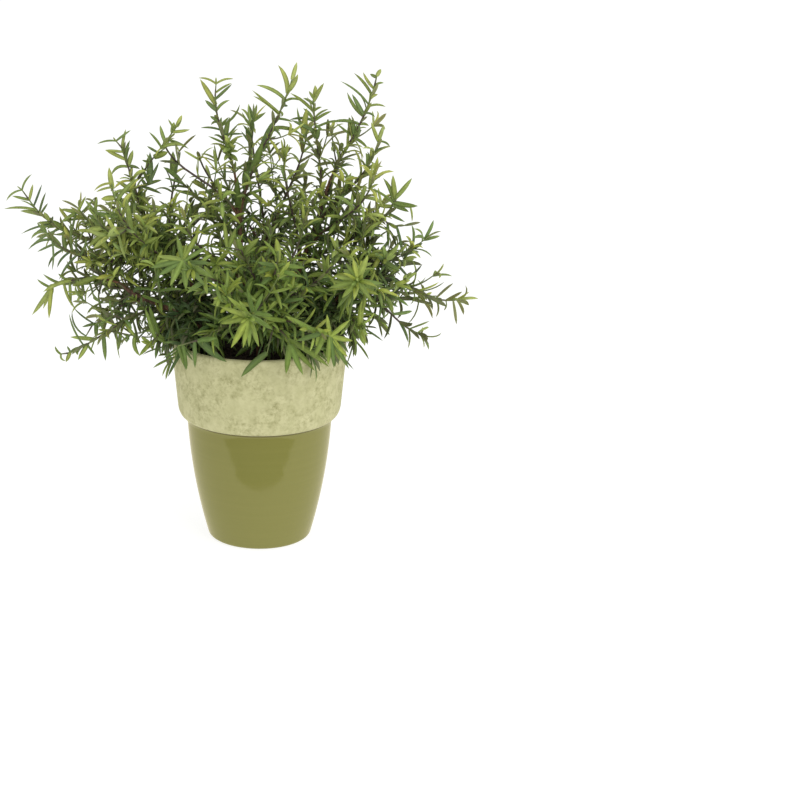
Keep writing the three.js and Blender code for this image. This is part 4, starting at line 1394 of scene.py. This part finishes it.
def add_crumb(growth, rng):
    """A small uneven lump, pressed into the soil."""
    far = soil_edge() * CRUMB.reach * math.sqrt(rng.uniform(0, 1))
    turn = rng.uniform(0, NEARLY_TURN)
    size = rng.uniform(*CRUMB.sizes)
    height = SOIL.top + size * CRUMB.raised
    centre = np.array([far * math.cos(turn), far * math.sin(turn), height])
    rises = np.linspace(-CRUMB.last_ring, CRUMB.last_ring, CRUMB.rings)
    angles = np.linspace(0, 2 * math.pi, CRUMB.sides, endpoint=False)
    uneven = rng.uniform(*CRUMB.radii, (CRUMB.rings, CRUMB.sides))
    radii = np.sqrt(1 - rises**2)[:, None] * uneven
    x = radii * np.cos(angles) * size
    y = radii * np.sin(angles) * size
    z = np.repeat(rises[:, None], CRUMB.sides, axis=1) * size * rng.uniform(*CRUMB.heights)
    rings = centre + np.stack([x, y, z], -1)
    top = UP * size * CRUMB.top
    growth.skin(rings, centre - top, centre + top, np.full(rings.shape, rng.uniform(*CRUMB.tints)))


def make_soil(material):
    """Crumbly potting mix: a rough surface with loose crumbs pressed into it."""
    rng = np.random.default_rng([SEED, SOIL_SEED])
    growth = revolve(soil_outline(), SOIL.segments, SOIL.tint)
    points = growth.points[0]
    top = np.abs(points[:, 2] - SOIL.top) < SOIL.level
    points[top, 2] += soil_waves(points[top], rng)
    for _ in range(CRUMB.count):
        add_crumb(growth, rng)
    mesh = growth.tinted_mesh("soil")
    finish_piece("crumbly_soil", mesh, [material], "soil", SOIL.sharp_angle)


# ---------------- materials


class Finish:
    """A node material, with short ways to add and join nodes."""

    blend_share, blend_first, blend_second = 0, 6, 7  # inputs of a mix node that blends colours
    blend_output = 2

    def __init__(self, name):
        self.material = bpy.data.materials.new(name)
        self.material.use_nodes = True
        self.tree = self.material.node_tree
        self.tree.nodes.clear()
        self.shader = self.node("ShaderNodeBsdfPrincipled", {})
        self.node("ShaderNodeOutputMaterial", {"Surface": self.shader.outputs[0]})
        self.place = self.node("ShaderNodeTexCoord", {}).outputs["Object"]

    def node(self, kind, inputs, **settings):
        made = self.tree.nodes.new(kind)
        for key, value in settings.items():
            setattr(made, key, value)
        for key, value in inputs.items():
            self.feed(made.inputs[key], value)
        return made

    def feed(self, socket, value):
        """Links an input to another node's output, or sets it to a number or a tuple of three."""
        if isinstance(value, bpy.types.NodeSocket):
            self.tree.links.new(value, socket)
        elif isinstance(value, tuple) and len(socket.default_value) == 4:
            socket.default_value = (*value, 1)
        else:
            socket.default_value = value

    def tint(self, output):
        """The colour that the mesh itself carries."""
        return self.node("ShaderNodeAttribute", {}, attribute_name="tint").outputs[output]

    def noise(self, scale, detail=3, roughness=0.5, stretch=(1, 1, 1)):
        place = self.node("ShaderNodeMapping", {"Vector": self.place, "Scale": stretch}).outputs[0]
        texture = {"Vector": place, "Scale": scale, "Detail": detail, "Roughness": roughness}
        return self.node("ShaderNodeTexNoise", texture).outputs["Fac"]

    def span(self, value, low, high, to_low=0.0, to_high=1.0):
        """Spreads what lies between low and high over the range from to_low to to_high."""
        ends = {"From Min": low, "From Max": high, "To Min": to_low, "To Max": to_high}
        return self.node("ShaderNodeMapRange", {"Value": value, **ends}).outputs[0]

    def combine(self, operation, a, b):
        return self.node("ShaderNodeMath", {0: a, 1: b}, operation=operation).outputs[0]

    def blend(self, share, a, b):
        inputs = {self.blend_share: share, self.blend_first: a, self.blend_second: b}
        return self.node("ShaderNodeMix", inputs, data_type="RGBA").outputs[self.blend_output]

    def bump(self, height, strength, distance):
        inputs = {"Strength": strength, "Distance": distance, "Height": height}
        self.set(Normal=self.node("ShaderNodeBump", inputs).outputs[0])

    def set(self, **values):
        for key, value in values.items():
            self.feed(self.shader.inputs[key.replace("_", " ")], value)


def glaze_finish():
    """Gloss olive glaze with faint throwing rings, and painted shade in a band under the collar."""
    dark_olive = (0.215, 0.212, 0.052)
    light_olive = (0.262, 0.252, 0.070)
    cloudy_olive = (0.240, 0.232, 0.060)
    # Painted shade: the glaze turns this dark brown in a thin band under the collar's overhang.
    brown = (0.105, 0.092, 0.028)
    shade_from = POT.ledge_height - 0.0018
    shade_full = POT.ledge_height - 0.0006
    finish = Finish("olive_glaze")
    rings = finish.noise(scale=9, roughness=0.55, stretch=(1, 1, 48))
    clouds = finish.noise(scale=26, detail=2)
    olive = finish.blend(rings, dark_olive, light_olive)
    olive = finish.blend(clouds, olive, cloudy_olive)
    height = finish.node("ShaderNodeSeparateXYZ", {0: finish.place}).outputs["Z"]
    under_collar_shade = finish.span(height, low=shade_from, high=shade_full)
    finish.set(Base_Color=finish.blend(under_collar_shade, olive, brown), IOR=1.5)
    finish.set(Roughness=finish.span(clouds, low=0.3, high=0.7, to_low=0.09, to_high=0.15))
    grain = finish.noise(scale=420, detail=2)
    finish.bump(finish.combine("ADD", rings, grain), strength=0.10, distance=0.0002)
    return finish.material


def collar_finish():
    """Matte pale finish with fine green-grey mottling that gathers in clouds."""
    pale_green = (0.560, 0.545, 0.285)
    paler_green = (0.640, 0.618, 0.345)
    green_grey = (0.320, 0.308, 0.128)
    soft_strength = 0.6
    sharp_strength = 0.42
    finish = Finish("mottled_collar")
    patches = finish.span(finish.noise(scale=62, roughness=0.55), low=0.38, high=0.60, to_low=0.3)
    smudges = finish.span(finish.noise(scale=190, roughness=0.6), low=0.42, high=0.68)
    marks = finish.span(finish.noise(scale=470, detail=4, roughness=0.68), low=0.49, high=0.62)
    soft = finish.combine("MULTIPLY", finish.combine("MULTIPLY", smudges, patches), soft_strength)
    sharp = finish.combine("MULTIPLY", finish.combine("MULTIPLY", marks, patches), sharp_strength)
    bare = finish.span(finish.noise(scale=110, detail=2), low=0.3, high=0.7)
    pale = finish.blend(bare, pale_green, paler_green)
    colour = finish.blend(finish.combine("ADD", soft, sharp), pale, green_grey)
    finish.set(Base_Color=colour, Roughness=0.8, IOR=1.45)
    grain = finish.noise(scale=900)
    finish.bump(finish.combine("ADD", grain, marks), strength=0.25, distance=0.0003)
    return finish.material


def soil_finish():
    """Dark moist potting mix, its crumbs a little lighter."""
    black_brown = (0.011, 0.008, 0.006)
    dark_brown = (0.060, 0.040, 0.026)
    crumb_brown = (0.075, 0.050, 0.033)
    finish = Finish("potting_mix")
    crumbs = finish.span(finish.tint("Fac"), *CRUMB.tints)
    grain = finish.noise(scale=700, detail=5, roughness=0.65)
    dark = finish.blend(grain, black_brown, dark_brown)
    finish.set(Base_Color=finish.blend(crumbs, dark, crumb_brown), Roughness=0.95)
    fine = finish.noise(scale=1800)
    finish.bump(finish.combine("ADD", grain, fine), strength=0.7, distance=0.0006)
    return finish.material


def bark_finish():
    """Reddish-brown bark with darker lengthwise cracks."""
    crack_brown = (0.030, 0.018, 0.014)
    flake_brown = (0.27, 0.16, 0.09)
    finish = Finish("rosemary_bark")
    cracks = finish.noise(scale=620, detail=4, roughness=0.7, stretch=(1, 1, 0.16))
    flakes = finish.noise(scale=280, roughness=0.6, stretch=(1, 1, 0.4))
    smooth = finish.span(cracks, low=0.3, high=0.6)
    colour = finish.blend(smooth, crack_brown, finish.tint("Color"))
    flaked = finish.span(flakes, low=0.5, high=0.75, to_high=0.4)
    finish.set(Base_Color=finish.blend(flaked, colour, flake_brown), Roughness=0.8)
    finish.bump(cracks, strength=0.6, distance=0.0004)
    return finish.material


def leaf_finish():
    """Satin leaf: its own green from the mesh, with slight clouding and a fine grain."""
    finish = Finish("rosemary_leaf")
    clouds = finish.noise(scale=260, roughness=0.55)
    brightness = finish.span(clouds, low=0.3, high=0.7, to_low=0.84, to_high=1.14)
    inputs = {0: finish.tint("Color"), "Scale": brightness}
    shade = finish.node("ShaderNodeVectorMath", inputs, operation="SCALE")
    finish.set(Base_Color=shade.outputs[0], IOR=1.42)
    gloss = finish.noise(scale=500, detail=2)
    finish.set(Roughness=finish.span(gloss, low=0.3, high=0.7, to_low=0.38, to_high=0.56))
    finish.bump(finish.noise(scale=1500), strength=0.25, distance=0.00015)
    return finish.material


# ---------------- floor, light and camera


def plain_material(name, colour, roughness, glow, glow_colour):
    finish = Finish(name)
    finish.set(Base_Color=colour, Roughness=roughness, Specular_IOR_Level=0.0)
    finish.set(Emission_Color=glow_colour, Emission_Strength=glow)
    return finish.material


def sheet(name, x, y, z, material):
    """A flat sheet of the surroundings between two x and two y."""
    mesh = bpy.data.meshes.new(name)
    corners = [(x[0], y[0], z), (x[1], y[0], z), (x[1], y[1], z), (x[0], y[1], z)]
    mesh.from_pydata(corners, [], [(0, 1, 2, 3)])
    mesh.materials.append(material)
    made = add_object(name, mesh)
    return made


def reflection_only_sheet(name, x, y, z, colour):
    """A glowing sheet that is seen only as it is mirrored in something glossy: a painted reflection."""
    material = plain_material(name, BLACK, roughness=1.0, glow=1.0, glow_colour=colour)
    made = sheet(name, x, y, z, material)
    made.visible_camera = False
    made.visible_diffuse = False
    made.visible_shadow = False
    made.visible_transmission = False


def make_surroundings():
    """A white floor, and sheets round it that only the glaze mirrors as a painted reflection: dark far
    in front.
    """
    white = plain_material("white_floor", FLOOR.colour, FLOOR.roughness, FLOOR.glow, WHITE)
    across = (-FLOOR.reach, FLOOR.reach)
    sheet("floor", across, across, FLOOR.height, white)
    across = (-WARM_REFLECTION_SHEET.reach, WARM_REFLECTION_SHEET.reach)
    behind = (WARM_REFLECTION_SHEET.nearest, WARM_REFLECTION_SHEET.reach)
    reflection_only_sheet("painted_warm_reflection", across, behind, WARM_REFLECTION_SHEET.height, WARM_REFLECTION_SHEET.colour)
    for i, (reach, nearest) in enumerate(DARK_REFLECTION_STEPS):
        height = DARK_REFLECTION_SHEETS.height + DARK_REFLECTION_SHEETS.step_height * i
        front = (DARK_REFLECTION_SHEETS.farthest, nearest)
        reflection_only_sheet(f"painted_dark_reflection_{i + 1}", (-reach, reach), front, height, BLACK)
    world = bpy.data.worlds.new("soft_white")
    bpy.context.scene.world = world
    world.use_nodes = True
    sky = world.node_tree.nodes["Background"]
    sky.inputs["Color"].default_value = (*WHITE, 1)
    sky.inputs["Strength"].default_value = SKY


def make_key_light():
    light = bpy.data.lights.new("key", "AREA")
    light.size = KEY_LIGHT.size
    light.energy = KEY_LIGHT.power
    made = add_object("key", light)
    made.location = KEY_LIGHT.place
    way = np.array(KEY_LIGHT.target) - np.array(KEY_LIGHT.place)
    turn = math.atan2(way[1], way[0]) - math.pi / 2
    tilt = math.acos(-way[2] / np.linalg.norm(way))
    made.rotation_euler = (tilt, 0, turn)


def make_camera():
    camera = bpy.data.cameras.new("camera")
    camera.lens = CAMERA.lens
    camera.sensor_width = CAMERA.sensor
    camera.shift_x = CAMERA.shift
    made = add_object("camera", camera)
    made.location = CAMERA.place
    made.rotation_euler = (math.radians(90 - CAMERA.tilt), 0, 0)
    bpy.context.scene.camera = made


# ---------------- the whole plant

make_camera()
make_surroundings()
make_key_light()
bpy.context.scene.view_settings.view_transform = "Standard"

make_pot(glaze_finish(), collar_finish())
make_soil(soil_finish())
bark = bark_finish()
leaf = leaf_finish()
stem_routes = {name: stem_route(*stem) for name, stem in STEMS.items()}
for order, (name, route) in enumerate(stem_routes.items()):
    make_stem(order, name, route, bark)
shoots = FRONT_SHOOTS + back_shoots()
for order, shoot in enumerate(shoots):
    siblings = sum(other[1] == shoot[1] for other in shoots)
    make_shoot(order, shoot, stem_routes, siblings, leaf)
